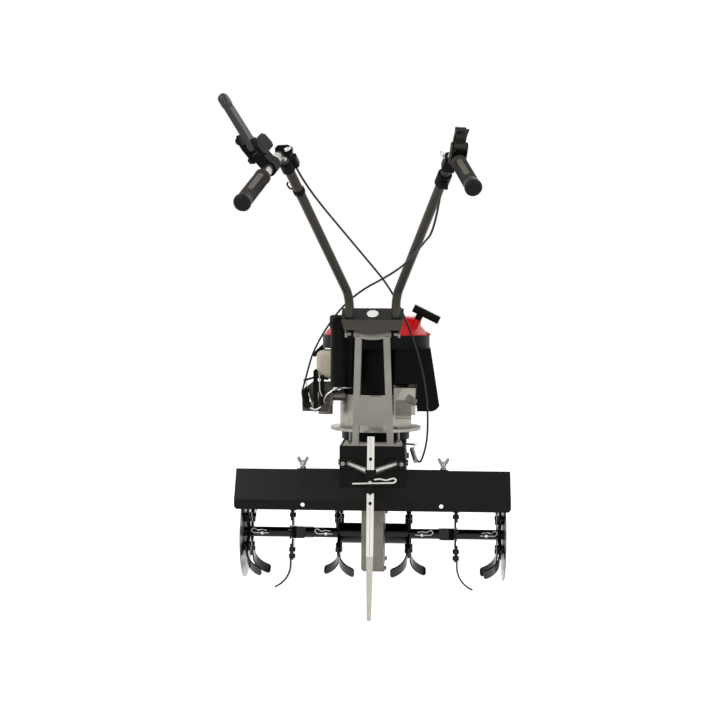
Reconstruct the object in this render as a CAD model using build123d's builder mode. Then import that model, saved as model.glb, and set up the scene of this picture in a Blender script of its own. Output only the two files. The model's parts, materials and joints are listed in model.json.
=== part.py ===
import os
from math import atan2, cos, degrees, hypot, pi, radians, sin, sqrt

from build123d import *

os.makedirs("parts", exist_ok=True)

# Clearances shared by every fit
body_gap = 0.4
running_fit = 0.05
slip_fit = 0.1

# Grip ends, which set the rear of the frame
tube_radius = 11.0
tube_wall = 2.0
grip_radius = 16.5
grip_length = 140.0
grip_droop = radians(29.2)
grip_splay = radians(13.2)
perch_room = 125.0
throttle_room = 50.0
grip_run_left = grip_length + perch_room
grip_run_right = grip_length + throttle_room
bend_top_x = 185.0
bend_top_back = 550.0
bend_top_z = 1074.0

# Engine drum and case, which set the front of the frame
crank_ahead = 70.0
drum_radius = 142.0
case_radius = 95.0

# The origin lies on the ground below the middle of the bounding box
rear_reach = bend_top_back + grip_run_left * cos(grip_droop) * cos(grip_splay)
rear_reach = rear_reach + grip_radius * sin(grip_droop)
front_reach = crank_ahead + drum_radius
axle_y = (rear_reach - front_reach) / 2
axle_z = 156.0
crank_y = axle_y + crank_ahead
worm_y = axle_y - 78.0

# Tine rotor
tine_radius = axle_z - 12.0
rotor_turn = 10.0
shaft_radius = 10.0
shaft_reach = 150.0
rotor_tube_radius = 13.0
rotor_tube_reach = 312.0
hub_radius = 26.5
gearbox_half = 28.0
hub_start = gearbox_half + 1.5
inner_set_x = 91.0
middle_set_x = 212.0
outer_set_x = rotor_tube_reach + 15.0
plate_thickness = 5.0
plate_width = 34.0
plate_reach = 72.0
blade_thickness = 4.0
blade_width = 30.0
blade_root = 30.0
blade_bend_radius = 60.0
blade_bend = radians(70.0)
tine_bolt_radius = 3.5
tine_nut_flat = 5.5
tine_head_height = 3.5
tine_nut_height = 4.0
tine_bolt_rings = (45.0, 62.0)
outer_tube_length = 21.9
disc_dish = 3.0
disc_radius = 118.0
disc_sheet = 2.0
stub_radius = 8.0
clip_inner_x = 125.0
clip_outer_x = rotor_tube_reach - 20.0
clip_pin_radius = 4.0
clip_wire = 1.5

# Worm drive
wheel_teeth = 20
wheel_pitch_radius = 60.0
wheel_tip_radius = 64.0
wheel_root_radius = 53.0
wheel_width = 16.0
worm_lead = 2 * pi * wheel_pitch_radius / wheel_teeth
worm_core = 12.0
worm_tip = 22.0
gearbox_radius = 82.0
gearbox_wall = 6.0
bearing_radius = 20.0
worm_bearing_radius = 16.0

# Chassis box
deck_z = 400.0
deck_sheet = 3.0
chassis_half = 82.0
chassis_rear = axle_y - 150.0
chassis_nose = 7.0
chassis_front = axle_y + crank_ahead + case_radius + chassis_nose
wall_bottom = 322.0
rear_wall_bottom = 285.0

# Belt drive
belt_z = 370.0
drive_belt_radius = 28.0
driven_belt_radius = 55.0
belt_height = 8.0
belt_top_half = 5.5
belt_root_half = 3.9
pulley_half = 9.0
idler_radius = 13.0
idler_travel = 6.0
arm_z = 385.0
arm_thickness = 4.0

# Hood
hood_half = 344.0
hood_seam = 190.0
hood_overlap = 25.0
hood_sheet = 2.0
hood_top_z = 341.0
hood_ridge = 130.0
hood_fall = 0.16
hood_cut_z = 297.0
seam_bolt_y = 100.0

# Column and yoke
column_foot_y = axle_y - 110.0
column_top_y = axle_y - 175.0
pivot_z = 681.0
column_top_z = pivot_z - 7.0
head_radius = 9.5
yoke_y = axle_y - 185.0
pivot_y = yoke_y + 6.0
pivot_bolt_radius = 6.0
handle_foot_x = 57.0
handle_bend_z = pivot_z + 91.0

# Bolt places shared by two pieces
frame_bolt_radius = 4.0
small_bolt_radius = 3.0
engine_bolt_x = 62.0
engine_bolt_y = case_radius - 7.0
column_bolt_x = 64.0
column_bolt_y = 20.0
floor_bolt_x = 18.0
floor_bolt_rear = 119.0
floor_bolt_front = 14.0
hood_bolt_z = 352.0
hood_bolt_span = 80.0
arm_end_x = 58.0
arm_end_z = 357.0

# Depth bar
bar_foot_y = axle_y - 305.0
bar_top_y = axle_y - 250.0
bar_top_z = 435.0
bar_leg = 8.7
bar_sheet = 3.0
bar_bolt_radius = 4.0
bar_slide = 25.0

# Control cables
cable_radius = 2.5

# Rotor joints and blades
stub_start = rotor_tube_reach - 62.0
inner_blades = tuple((45 + 90 * arm + rotor_turn, 1 if arm % 2 else -1) for arm in range(4))
middle_blades = tuple((90 * arm + rotor_turn, -1 if arm % 2 else 1) for arm in range(4))
outer_blades = tuple((45 + 90 * arm + rotor_turn, -1) for arm in range(4))
clip_shape = ((-17, 0), (23, 0), (30, 7), (23, 13), (12, 6.6), (0, 9), (-12, 6.6))

# Worm shaft and gearbox
worm_bottom = 92.4
worm_top = 384.0
worm_turns = 2.5
neck_half = 34.0
neck_bottom = 84.0
bearing_seat_low = 92.0
cavity_low = 106.0
cavity_high = 300.0
bearing_seat_high = 312.0
lug_places = ((75, 45), (88, -20), (45, -75), (-20, -88))

# Crankshaft
crank_radius = 12.5

# Tension arm
idler_y = axle_y + 8.0
arm_pivot = (64.0, axle_y + 58.0)
arm_hook = (104.0, axle_y + 30.0)
arm_pin_radius = 5.0
stud_pin_radius = 4.0

# Hood holes
lip_hole_x = 172.0
lip_hole_z = 255.0

# Column rails
rail_width = 16.0
rail_wall = 3.0
rail_foot_x = 44.0
rail_top_x = 34.5
rail_foot_depth = 40.0
rail_top_depth = 30.0
head_half = 53.0
web_foot_z = deck_z + 50.0
web_top_z = web_foot_z + 74.0

# Yoke
skirt_rise = 9.0
yoke_skirt_z = pivot_z + skirt_rise
socket_z = pivot_z + 17.0
yoke_brow_z = pivot_z + 35.0
yoke_crown_z = yoke_brow_z + 28.0
yoke_half = 76.0
yoke_foot_half = 61.5
yoke_wall = 4.0

# Handle bends
handle_bend_radius = 60.0
handle_top_radius = 38.0
cap_thickness = 4.0

# Clutch lever and lock button
perch_run = 72.0
perch_lift = 55.0
lever_length = 112.0
lever_lean = radians(21.2)
lever_half = 7.0
knob_radius = 12.5
knob_run = 12.0
knob_half = 10.0
lever_hub_half = 8.0
cheek = 5.0
lever_pin_radius = 4.0
button_radius = 7.0
button_travel = 5.0

# Throttle lever and cable block
throttle_run = 38.0
throttle_lift = 30.0
throttle_half = 13.5
prong_length = 14.0
block_wall = 5.0

# Depth bar bolt and holder
bar_bolt_run = 328.0
bar_holes = (278, 384)
bar_foot_half = 5.0
bar_taper = 170.0
nose_end = 30.0
sleeve_start = 302.0
sleeve_length = 56.0
sleeve_wall = 1.8
bar_clip_wire = 2.0
bar_clip_back = 7.0
bar_clip_shape = ((-43, 3), (56, 0), (64, -6), (56, -11), (38, -6), (22, -9), (9, -7))
arm_radius = 7.5

# Engine block
base_step = 5.0
flange_lip = 25.0
flange_z = 424.0
flange_thickness = 8.0
cylinder_z = 535.0
chest_bottom = 470.0
chest_top = 540.0
barrel_end = 138.0
fin_count = 5
fin_pitch = 8.0
fin_half = 52.0
exhaust_x = 116.0
exhaust_z = 512.0
exhaust_radius = 10.0

# Fan housing and crankshaft
drum_bottom = 640.0
case_top = drum_bottom - slip_fit
drum_height = 34.0
drum_top = drum_bottom + drum_height
drum_sheet = 2.5
crank_bottom = 345.0
flywheel_radius = 112.0
shroud_inner_x = 52.0
shroud_top_x = 144.0
shroud_foot_x = 170.0
shroud_rear = axle_y - 42.0
shroud_gap = 7.0
shroud_front = crank_y + case_radius + shroud_gap
shroud_foot_z = 480.0
shroud_step_z = 550.0
shroud_step_x = 110.0
shroud_corner = 26.0
ear_ring = 131.0

# Starter
dome_radius = 118.0
dome_height = 51.0
dome_top = drum_top + dome_height
dome_wall = 2.5
flare_radius = 138.0
flare_height = 26.0
ear_top = drum_top + 6.0
rope_radius = 2.0
guide_reach = 13.0
pull_length = 74.0

# Air cleaner
cleaner_x = -80.0
cleaner_y = axle_y - 85.0
cleaner_radius = 30.0
cleaner_foot = 545.0
cleaner_lid_z = 695.0
cleaner_top = 727.0

# Fuel tank
tank_gap = 7.0
tank_depth = 50.0
tank_inner_x = -case_radius - tank_gap
tank_outer_x = tank_inner_x - tank_depth
tank_rear = axle_y - 25.0
tank_front = axle_y + 140.0
tank_bottom = 560.0
tank_top = 634.0

# Carburettor and its control plate
carb_y = axle_y + 30.0
plate_y = axle_y - 14.0
arm_pin = (-150.0, 520.0)
plate_outline = ((-40, 538), (-116, 538), (-120, 476), (-188, 476), (-190, 530), (-160, 554), (-40, 554))

# Cable routes and tension spring
clutch_bends = (60, 120, 160, 120, 26)
throttle_bends = (36, 110, 120, 140, 36)
spring_radius = 6.0
spring_wire = 1.0
spring_turns = 16
hook_length = 16.0


def unit(x, y, z):
    """A unit vector along the given direction."""
    return Vector(x, y, z).normalized()


def mirrored(part):
    """The same piece on the machine's other side."""
    return mirror(part, about=Plane.YZ)


def axle_plane(x):
    """A plane across the axle, with its own axes along Y and Z."""
    return Plane(origin=(x, axle_y, axle_z), x_dir=(0, 1, 0), z_dir=(1, 0, 0))


def level(z, x=0.0, y=0.0):
    """A level plane at a height, centred on a place in plan."""
    return Plane(origin=(x, y, z), x_dir=(1, 0, 0), z_dir=(0, 0, 1))


def save(piece, name):
    """Names one finished piece and writes its file."""
    piece.label = name
    export_step(piece, f"parts/{name}.step")


def round_bar(points, bends, radius, bore=0.0):
    """A round bar or tube along straight runs joined by tangent arcs."""
    with BuildPart() as bar:
        with BuildLine() as route:
            FilletPolyline(*points, radius=bends)
        with BuildSketch(Plane(origin=route.line @ 0, z_dir=route.line % 0)):
            Circle(radius)
            if bore:
                Circle(bore, mode=Mode.SUBTRACT)
        sweep(path=route.line)
    return bar.part


# Tine shaft with its cross holes for the clip pins
with BuildPart() as tine_shaft:
    with BuildSketch(axle_plane(-shaft_reach)):
        Circle(shaft_radius)
    extrude(amount=2 * shaft_reach)
    with Locations((clip_inner_x, axle_y, axle_z), (-clip_inner_x, axle_y, axle_z)):
        Cylinder(clip_pin_radius + slip_fit, 4 * shaft_radius, rotation=(90, 0, 0), mode=Mode.SUBTRACT)
save(tine_shaft.part, "tine_shaft")


def cross_plate(x, turn):
    """A cross of sheet with two bolt holes on each arm."""
    with BuildPart() as cross:
        with BuildSketch(axle_plane(x - plate_thickness / 2)):
            Rectangle(plate_width, 2 * plate_reach, rotation=turn)
            Rectangle(2 * plate_reach, plate_width, rotation=turn)
            for ring in tine_bolt_rings:
                with PolarLocations(ring, 4, start_angle=turn):
                    Circle(tine_bolt_radius + slip_fit, mode=Mode.SUBTRACT)
        extrude(amount=plate_thickness)
    return cross.part


# Inner rotor tubes, each with a hub and two crosses
with BuildPart() as rotor_tubes:
    with BuildSketch(axle_plane(hub_start)):
        Circle(rotor_tube_radius)
    extrude(amount=rotor_tube_reach - hub_start)
    with BuildSketch(axle_plane(hub_start)):
        Circle(hub_radius)
    extrude(amount=inner_set_x - hub_start)
    add(cross_plate(inner_set_x, 45 - rotor_turn))
    add(cross_plate(middle_set_x, -rotor_turn))
    with BuildSketch(axle_plane(hub_start)):
        Circle(shaft_radius + slip_fit)
    extrude(amount=rotor_tube_reach, mode=Mode.SUBTRACT)
    with Locations((clip_inner_x, axle_y, axle_z), (clip_outer_x, axle_y, axle_z)):
        Cylinder(clip_pin_radius + slip_fit, 4 * hub_radius, rotation=(90, 0, 0), mode=Mode.SUBTRACT)
    mirror(about=Plane.YZ)
save(rotor_tubes.part, "rotor_tubes")

# Outer tubes, each with a stub inside the inner tube and one cross
outer_tube_start = rotor_tube_reach + slip_fit
outer_tube_end = outer_tube_start + outer_tube_length
with BuildPart() as outer_tubes:
    with BuildSketch(axle_plane(stub_start)):
        Circle(shaft_radius)
    extrude(amount=outer_tube_start + 1 - stub_start)
    with BuildSketch(axle_plane(outer_tube_start)):
        Circle(rotor_tube_radius)
    extrude(amount=outer_tube_end - outer_tube_start)
    add(cross_plate(outer_set_x, 45 - rotor_turn))
    with BuildSketch(axle_plane(outer_tube_start + 4)):
        Circle(stub_radius + slip_fit)
    extrude(amount=outer_tube_end - outer_tube_start, mode=Mode.SUBTRACT)
    with Locations((clip_outer_x, axle_y, axle_z)):
        Cylinder(clip_pin_radius + slip_fit, 4 * shaft_radius, rotation=(90, 0, 0), mode=Mode.SUBTRACT)
    mirror(about=Plane.YZ)
save(outer_tubes.part, "outer_tubes")

# End discs, dished, each on a stub
with BuildPart() as end_discs:
    disc_root = outer_tube_end + 0.5
    disc_x = disc_root + disc_dish
    with BuildSketch(Plane(origin=(0, axle_y, axle_z), x_dir=(1, 0, 0), z_dir=(0, -1, 0))):
        with BuildLine():
            Polyline(
                (outer_tube_start + 6, 0),
                (outer_tube_start + 6, stub_radius),
                (disc_root, stub_radius),
                (disc_root, 60),
                (disc_x - disc_sheet, disc_radius),
                (disc_x, disc_radius),
                (disc_root + disc_sheet, 59.5),
                (disc_root + disc_sheet, 0),
                close=True,
            )
        make_face()
    revolve(axis=Axis((0, axle_y, axle_z), (1, 0, 0)))
    mirror(about=Plane.YZ)
save(end_discs.part, "end_discs")

# Each set's blades: their turn from straight down towards the rear, and the way they bend


def blade_set(set_x, blades):
    """Four bent blades of one set, with their bolt holes and rounded tips."""
    curl = blade_bend_radius + blade_thickness
    straight = tine_radius - curl * sin(blade_bend)
    with BuildPart() as blade_group:
        for turn, bend in blades:
            swing = radians(turn)
            face = Plane(
                origin=(set_x + bend * plate_thickness / 2, axle_y, axle_z),
                x_dir=(1, 0, 0),
                z_dir=(0, cos(swing), -sin(swing)),
            )
            with BuildSketch(face):
                with BuildLine():
                    Line((0, blade_root), (0, straight))
                    ThreePointArc(
                        (0, straight),
                        (bend * curl * (1 - cos(blade_bend / 2)), straight + curl * sin(blade_bend / 2)),
                        (bend * curl * (1 - cos(blade_bend)), straight + curl * sin(blade_bend)),
                    )
                    Line(
                        (bend * curl * (1 - cos(blade_bend)), straight + curl * sin(blade_bend)),
                        (
                            bend * (curl - blade_bend_radius * cos(blade_bend)),
                            straight + blade_bend_radius * sin(blade_bend),
                        ),
                    )
                    ThreePointArc(
                        (
                            bend * (curl - blade_bend_radius * cos(blade_bend)),
                            straight + blade_bend_radius * sin(blade_bend),
                        ),
                        (
                            bend * (curl - blade_bend_radius * cos(blade_bend / 2)),
                            straight + blade_bend_radius * sin(blade_bend / 2),
                        ),
                        (bend * blade_thickness, straight),
                    )
                    Polyline(
                        (bend * blade_thickness, straight),
                        (bend * blade_thickness, blade_root),
                        (0, blade_root),
                    )
                make_face()
            extrude(amount=blade_width / 2, both=True)
            for ring in tine_bolt_rings:
                with Locations((set_x, axle_y - ring * sin(swing), axle_z - ring * cos(swing))):
                    Cylinder(tine_bolt_radius + slip_fit, 40, rotation=(0, 90, 0), mode=Mode.SUBTRACT)
        short = blade_group.edges().filter_by(lambda edge: abs(edge.length - blade_thickness) < 0.01)
        axle = Vector(0, axle_y, axle_z)
        tips = [edge for edge in short if (edge.center() - axle).cross(Vector(1, 0, 0)).length > 120]
        fillet(tips, radius=8)
        mirror(about=Plane.YZ)
    return blade_group.part


save(blade_set(inner_set_x, inner_blades), "inner_tines")
save(blade_set(middle_set_x, middle_blades), "middle_tines")
save(blade_set(outer_set_x, outer_blades), "outer_tines")

# Tine bolts, head on the blade and nut on the cross
with BuildPart() as tine_bolts:
    for set_x, blades in (
        (inner_set_x, inner_blades),
        (middle_set_x, middle_blades),
        (outer_set_x, outer_blades),
    ):
        for turn, bend in blades:
            swing = radians(turn)
            for ring in tine_bolt_rings:
                place = Plane(
                    origin=(set_x, axle_y - ring * sin(swing), axle_z - ring * cos(swing)),
                    x_dir=(0, 1, 0),
                    z_dir=(bend, 0, 0),
                )
                head = plate_thickness / 2 + blade_thickness
                with BuildSketch(place.offset(head)):
                    RegularPolygon(tine_nut_flat, 6, major_radius=False)
                extrude(amount=tine_head_height)
                with BuildSketch(place.offset(-plate_thickness / 2 - tine_nut_height)):
                    RegularPolygon(tine_nut_flat, 6, major_radius=False)
                extrude(amount=tine_nut_height)
                with BuildSketch(place.offset(-plate_thickness / 2 - 2)):
                    Circle(tine_bolt_radius)
                extrude(amount=plate_thickness + blade_thickness + 4)
    mirror(about=Plane.YZ)
save(tine_bolts.part, "tine_bolts")

# Clip pins through the tubes, each with its wire clip
clip_y = axle_y - rotor_tube_radius - 4.5
with BuildPart() as clip_pins:
    for pin_x in (clip_inner_x, clip_outer_x):
        with BuildSketch(Plane(origin=(pin_x, clip_y - 4, axle_z), x_dir=(1, 0, 0), z_dir=(0, 1, 0))):
            Circle(clip_pin_radius)
        extrude(amount=2 * rotor_tube_radius + 9)
        with BuildSketch(Plane(origin=(pin_x, axle_y + rotor_tube_radius + 0.5, axle_z), z_dir=(0, 1, 0))):
            Circle(clip_pin_radius + 3)
        extrude(amount=3)
        with Locations((pin_x, clip_y, axle_z)):
            Cylinder(clip_wire + slip_fit, 20, rotation=(0, 90, 0), mode=Mode.SUBTRACT)
        add(round_bar([(pin_x + x, clip_y, axle_z + z) for x, z in clip_shape], 3, clip_wire))
    mirror(about=Plane.YZ)
save(clip_pins.part, "clip_pins")

# Worm wheel, with a tooth gap facing the worm
with BuildPart() as worm_wheel:
    with BuildSketch(axle_plane(-wheel_width / 2)):
        Circle(wheel_root_radius)
        with PolarLocations(0, wheel_teeth, start_angle=180 / wheel_teeth):
            Polygon(
                (wheel_root_radius - 1, -5.2),
                (wheel_tip_radius, -2.5),
                (wheel_tip_radius, 2.5),
                (wheel_root_radius - 1, 5.2),
                align=None,
            )
        Circle(shaft_radius + slip_fit, mode=Mode.SUBTRACT)
    extrude(amount=wheel_width)
    with BuildSketch(axle_plane(-gearbox_half + gearbox_wall + 1)):
        Circle(18)
        Circle(shaft_radius + slip_fit, mode=Mode.SUBTRACT)
    extrude(amount=2 * (gearbox_half - gearbox_wall - 1))
save(worm_wheel.part, "worm_wheel")

# Upright worm shaft with a single right-hand thread
with BuildPart() as worm_shaft:
    with BuildSketch(level(worm_bottom, 0, worm_y)):
        Circle(shaft_radius)
    extrude(amount=worm_top - worm_bottom)
    with BuildSketch(level(axle_z - 40, 0, worm_y)):
        Circle(worm_core)
    extrude(amount=80)
    thread_z = axle_z - worm_turns * worm_lead / 2
    with BuildLine(Plane(origin=(0, worm_y, thread_z))) as thread_line:
        Helix(worm_lead, worm_turns * worm_lead, worm_core)
    with BuildSketch(Plane(origin=(worm_core, worm_y, thread_z), x_dir=(1, 0, 0), z_dir=(0, -1, 0))):
        with BuildLine():
            crest = worm_tip - worm_core
            Polyline((-1, -3), (crest, -1.5), (crest, 1.5), (-1, 3), close=True)
        make_face()
    sweep(path=thread_line.line, is_frenet=True)
save(worm_shaft.part, "worm_shaft")

# Gearbox, right half then its mirror
gearbox_top = wall_bottom - body_gap
with BuildPart() as gearbox_half_right:
    with BuildSketch(axle_plane(0)):
        Circle(gearbox_radius)
        with Locations((worm_y - axle_y, (neck_bottom + gearbox_top) / 2 - axle_z)):
            Rectangle(2 * neck_half, gearbox_top - neck_bottom)
        with Locations((-15, 55)):
            Rectangle(70, 110)
        with Locations(*lug_places):
            Circle(9)
    extrude(amount=gearbox_half)
    with BuildSketch(level(gearbox_top - 10, gearbox_half / 2, axle_y - 52)):
        Rectangle(gearbox_half, 150)
    extrude(amount=10)
    with BuildSketch(axle_plane(0)):
        Circle(gearbox_radius - gearbox_wall - 6)
    extrude(amount=gearbox_half - gearbox_wall, mode=Mode.SUBTRACT)
    for low, high, bore in (
        (bearing_seat_low, cavity_low, worm_bearing_radius + slip_fit),
        (cavity_low, cavity_high, worm_tip + 2),
        (cavity_high, bearing_seat_high, worm_bearing_radius + slip_fit),
        (bearing_seat_high, gearbox_top, shaft_radius + 1),
    ):
        with BuildSketch(level(low, 0, worm_y)):
            Circle(bore)
        extrude(amount=high - low, mode=Mode.SUBTRACT)
    with BuildSketch(axle_plane(0)):
        Circle(bearing_radius + slip_fit)
    extrude(amount=gearbox_half, mode=Mode.SUBTRACT)
    with BuildSketch(axle_plane(0)):
        with Locations(*lug_places):
            Circle(small_bolt_radius + slip_fit)
    extrude(amount=gearbox_half, mode=Mode.SUBTRACT)
    for shift in (-floor_bolt_rear, floor_bolt_front):
        with Locations((floor_bolt_x, axle_y + shift, gearbox_top)):
            Cylinder(frame_bolt_radius + slip_fit, 40, mode=Mode.SUBTRACT)
save(gearbox_half_right.part, "gearbox_half_right")

with BuildPart() as gearbox_half_left:
    add(mirrored(gearbox_half_right.part))
save(gearbox_half_left.part, "gearbox_half_left")

# Bearing rings for both shafts
with BuildPart() as gearbox_bearings:
    for start in (-gearbox_half, gearbox_half - gearbox_wall):
        with BuildSketch(axle_plane(start)):
            Circle(bearing_radius)
            Circle(shaft_radius + running_fit, mode=Mode.SUBTRACT)
        extrude(amount=gearbox_wall)
    for start in (bearing_seat_low + 2, cavity_high + 1):
        with BuildSketch(level(start, 0, worm_y)):
            Circle(worm_bearing_radius)
            Circle(shaft_radius + running_fit, mode=Mode.SUBTRACT)
        extrude(amount=10)
save(gearbox_bearings.part, "gearbox_bearings")

# Belt run: tangent points on the two pulleys
belt_span = crank_y - worm_y
belt_lean = (driven_belt_radius - drive_belt_radius) / belt_span
belt_side = sqrt(1 - belt_lean**2)
belt_drive_mid = drive_belt_radius - belt_height / 2
belt_driven_mid = driven_belt_radius - belt_height / 2
drive_touch = (belt_drive_mid * belt_side, crank_y + belt_drive_mid * belt_lean)
driven_touch = (belt_driven_mid * belt_side, worm_y + belt_driven_mid * belt_lean)


def pulley(y, belt_radius, bore):
    """A V-grooved pulley whose groove clears the belt on every side."""
    rim = belt_radius + 1
    taper = (belt_top_half - belt_root_half) / belt_height
    rim_half = belt_top_half + taper + body_gap
    root = belt_radius - belt_height - 1.5
    root_half = belt_root_half - taper * 1.5 + body_gap
    with BuildPart() as wheel:
        with BuildSketch(Plane(origin=(0, y, belt_z), x_dir=(1, 0, 0), z_dir=(0, -1, 0))):
            with BuildLine():
                Polyline(
                    (bore, -pulley_half),
                    (rim, -pulley_half),
                    (rim, -rim_half),
                    (root, -root_half),
                    (root, root_half),
                    (rim, rim_half),
                    (rim, pulley_half),
                    (bore, pulley_half),
                    close=True,
                )
            make_face()
        revolve(axis=Axis((0, y, belt_z), (0, 0, 1)))
    return wheel.part


save(pulley(worm_y, driven_belt_radius, shaft_radius + slip_fit), "driven_pulley")
drive_bore = crank_radius + slip_fit
save(pulley(crank_y, drive_belt_radius, drive_bore), "drive_pulley")

with BuildPart() as drive_belt:
    with BuildLine(level(belt_z)) as belt_line:
        Line(drive_touch, driven_touch)
        ThreePointArc(driven_touch, (0, worm_y - belt_driven_mid), (-driven_touch[0], driven_touch[1]))
        Line((-driven_touch[0], driven_touch[1]), (-drive_touch[0], drive_touch[1]))
        ThreePointArc((-drive_touch[0], drive_touch[1]), (0, crank_y + belt_drive_mid), drive_touch)
    run_start = Vector(drive_touch[0], drive_touch[1], belt_z)
    outward = Vector(belt_side, belt_lean, 0)
    with BuildSketch(Plane(origin=run_start, x_dir=outward, z_dir=outward.cross(Vector(0, 0, 1)))):
        with BuildLine():
            Polyline(
                (-belt_height / 2, -belt_root_half),
                (belt_height / 2, -belt_top_half),
                (belt_height / 2, belt_top_half),
                (-belt_height / 2, belt_root_half),
                close=True,
            )
        make_face()
    sweep(path=belt_line.line)
save(drive_belt.part, "drive_belt")

# Tension arm under the deck, its idler beside the belt's right run
idler_reach = drive_belt_radius + idler_radius + idler_travel
idler_x = (idler_reach - (idler_y - crank_y) * belt_lean) / belt_side
with BuildPart() as tension_arm:
    with BuildSketch(level(arm_z)):
        for end_x, end_y, width in ((idler_x, idler_y, 18), (arm_hook[0], arm_hook[1], 14)):
            across = end_x - arm_pivot[0]
            along = end_y - arm_pivot[1]
            with Locations(((end_x + arm_pivot[0]) / 2, (end_y + arm_pivot[1]) / 2)):
                SlotCenterToCenter(hypot(across, along), width, rotation=degrees(atan2(along, across)))
        with Locations(arm_pivot):
            Circle(arm_pin_radius + running_fit, mode=Mode.SUBTRACT)
        with Locations(arm_hook):
            Circle(2.5, mode=Mode.SUBTRACT)
    extrude(amount=arm_thickness)
    with BuildSketch(level(belt_z - pulley_half - 2, idler_x, idler_y)):
        Circle(stud_pin_radius)
    extrude(amount=arm_z - belt_z + pulley_half + 2)
save(tension_arm.part, "tension_arm")

with BuildPart() as idler_pulley:
    with BuildSketch(level(belt_z - pulley_half, idler_x, idler_y)):
        Circle(idler_radius)
        Circle(stud_pin_radius + running_fit, mode=Mode.SUBTRACT)
    extrude(amount=2 * pulley_half)
save(idler_pulley.part, "idler_pulley")

# Chassis box, open below, with the tension arm's pivot stud and its slot
with BuildPart() as chassis_frame:
    middle_y = (chassis_front + chassis_rear) / 2
    length = chassis_front - chassis_rear
    with BuildSketch(level(wall_bottom, 0, middle_y)):
        Rectangle(2 * chassis_half, length)
        Rectangle(2 * (chassis_half - deck_sheet), length - 2 * deck_sheet, mode=Mode.SUBTRACT)
    extrude(amount=deck_z - wall_bottom)
    with BuildSketch(level(deck_z - deck_sheet, 0, middle_y)):
        Rectangle(2 * chassis_half, length)
    extrude(amount=deck_sheet)
    with BuildSketch(level(rear_wall_bottom, 0, chassis_rear + deck_sheet / 2)):
        Rectangle(2 * chassis_half, deck_sheet)
    extrude(amount=wall_bottom - rear_wall_bottom)
    with BuildSketch(level(deck_z - deck_sheet, 0, crank_y)):
        Circle(32)
        with GridLocations(2 * engine_bolt_x, 2 * engine_bolt_y, 2, 2):
            Circle(frame_bolt_radius + slip_fit)
    extrude(amount=deck_sheet, mode=Mode.SUBTRACT)
    with BuildSketch(level(arm_z - 3, *arm_pivot)):
        Circle(arm_pin_radius)
    extrude(amount=deck_z - deck_sheet - arm_z + 3)
    with Locations((chassis_half, axle_y + 44, arm_z + arm_thickness / 2)):
        Box(20, 36, arm_thickness + 6, mode=Mode.SUBTRACT)
    for shift in (hood_bolt_span, -hood_bolt_span):
        with Locations((0, axle_y + shift, hood_bolt_z)):
            bolt_hole = frame_bolt_radius + slip_fit
            Cylinder(bolt_hole, 3 * chassis_half, rotation=(0, 90, 0), mode=Mode.SUBTRACT)
    with BuildSketch(level(deck_z - deck_sheet, 0, column_foot_y)):
        with GridLocations(2 * column_bolt_x, 2 * column_bolt_y, 2, 2):
            Circle(frame_bolt_radius + slip_fit)
    extrude(amount=deck_sheet, mode=Mode.SUBTRACT)
    for side in (1, -1):
        with Locations((side * (arm_end_x + 15), chassis_rear, arm_end_z)):
            Cylinder(small_bolt_radius + slip_fit, 20, rotation=(90, 0, 0), mode=Mode.SUBTRACT)
save(chassis_frame.part, "chassis_frame")

floor_bolts = [
    (x, axle_y + y - middle_y)
    for x in (floor_bolt_x, -floor_bolt_x)
    for y in (-floor_bolt_rear, floor_bolt_front)
]
with BuildPart() as chassis_floor:
    inside = 2 * (chassis_half - deck_sheet - body_gap)
    with BuildSketch(level(wall_bottom, 0, middle_y)):
        Rectangle(inside, length - 2 * deck_sheet - 2 * body_gap)
        with Locations((0, worm_y - middle_y)):
            Circle(shaft_radius + 2, mode=Mode.SUBTRACT)
        with Locations(*floor_bolts):
            Circle(frame_bolt_radius + slip_fit, mode=Mode.SUBTRACT)
    extrude(amount=deck_sheet)
save(chassis_floor.part, "chassis_floor")

# Hood: one folded section, the wings one sheet below the centre


def hood_height(ahead):
    """The height of the hood's outer skin at a distance ahead of the axle."""
    return hood_top_z - hood_fall * (ahead + hood_ridge)


hood_section = (
    (axle_y + 152.0, hood_height(128.0) - 54),
    (axle_y + 128.0, hood_height(128.0)),
    (axle_y - hood_ridge, hood_top_z),
    (axle_y - 170.0, 267.0),
    (axle_y - 172.0, 242.0),
)


def folded(points, drop):
    """The points of a folded line moved square to it, towards its left-hand side."""
    moved = []
    for place, (y, z) in enumerate(points):
        turns = []
        for other in (place - 1, place):
            if 0 <= other < len(points) - 1:
                run = Vector(points[other + 1]) - Vector(points[other])
                turns.append(Vector(-run.Y, run.X).normalized())
        mitre = (turns[0] + turns[-1]).normalized()
        reach = drop / mitre.dot(turns[0])
        moved.append((y + mitre.X * reach, z + mitre.Y * reach))
    return moved


def hood_strip(start, end, drop):
    """A folded strip of the hood between two places across it, drop below the outer skin."""
    with BuildPart() as panel:
        with BuildSketch(Plane(origin=(start, 0, 0), x_dir=(0, 1, 0), z_dir=(1, 0, 0))):
            with BuildLine():
                outer = folded(hood_section, drop)
                inner = folded(hood_section, drop + hood_sheet)
                Polyline(*outer, *reversed(inner), close=True)
            make_face()
        extrude(amount=end - start)
    return panel.part


def seam_plane(side):
    """A plane on the hood's outer skin at one seam bolt, looking out of the sheet."""
    place = (side * (hood_seam - 12), axle_y - seam_bolt_y, hood_height(-seam_bolt_y))
    return Plane(origin=place, x_dir=(1, 0, 0), z_dir=(0, hood_fall, 1))


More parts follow.
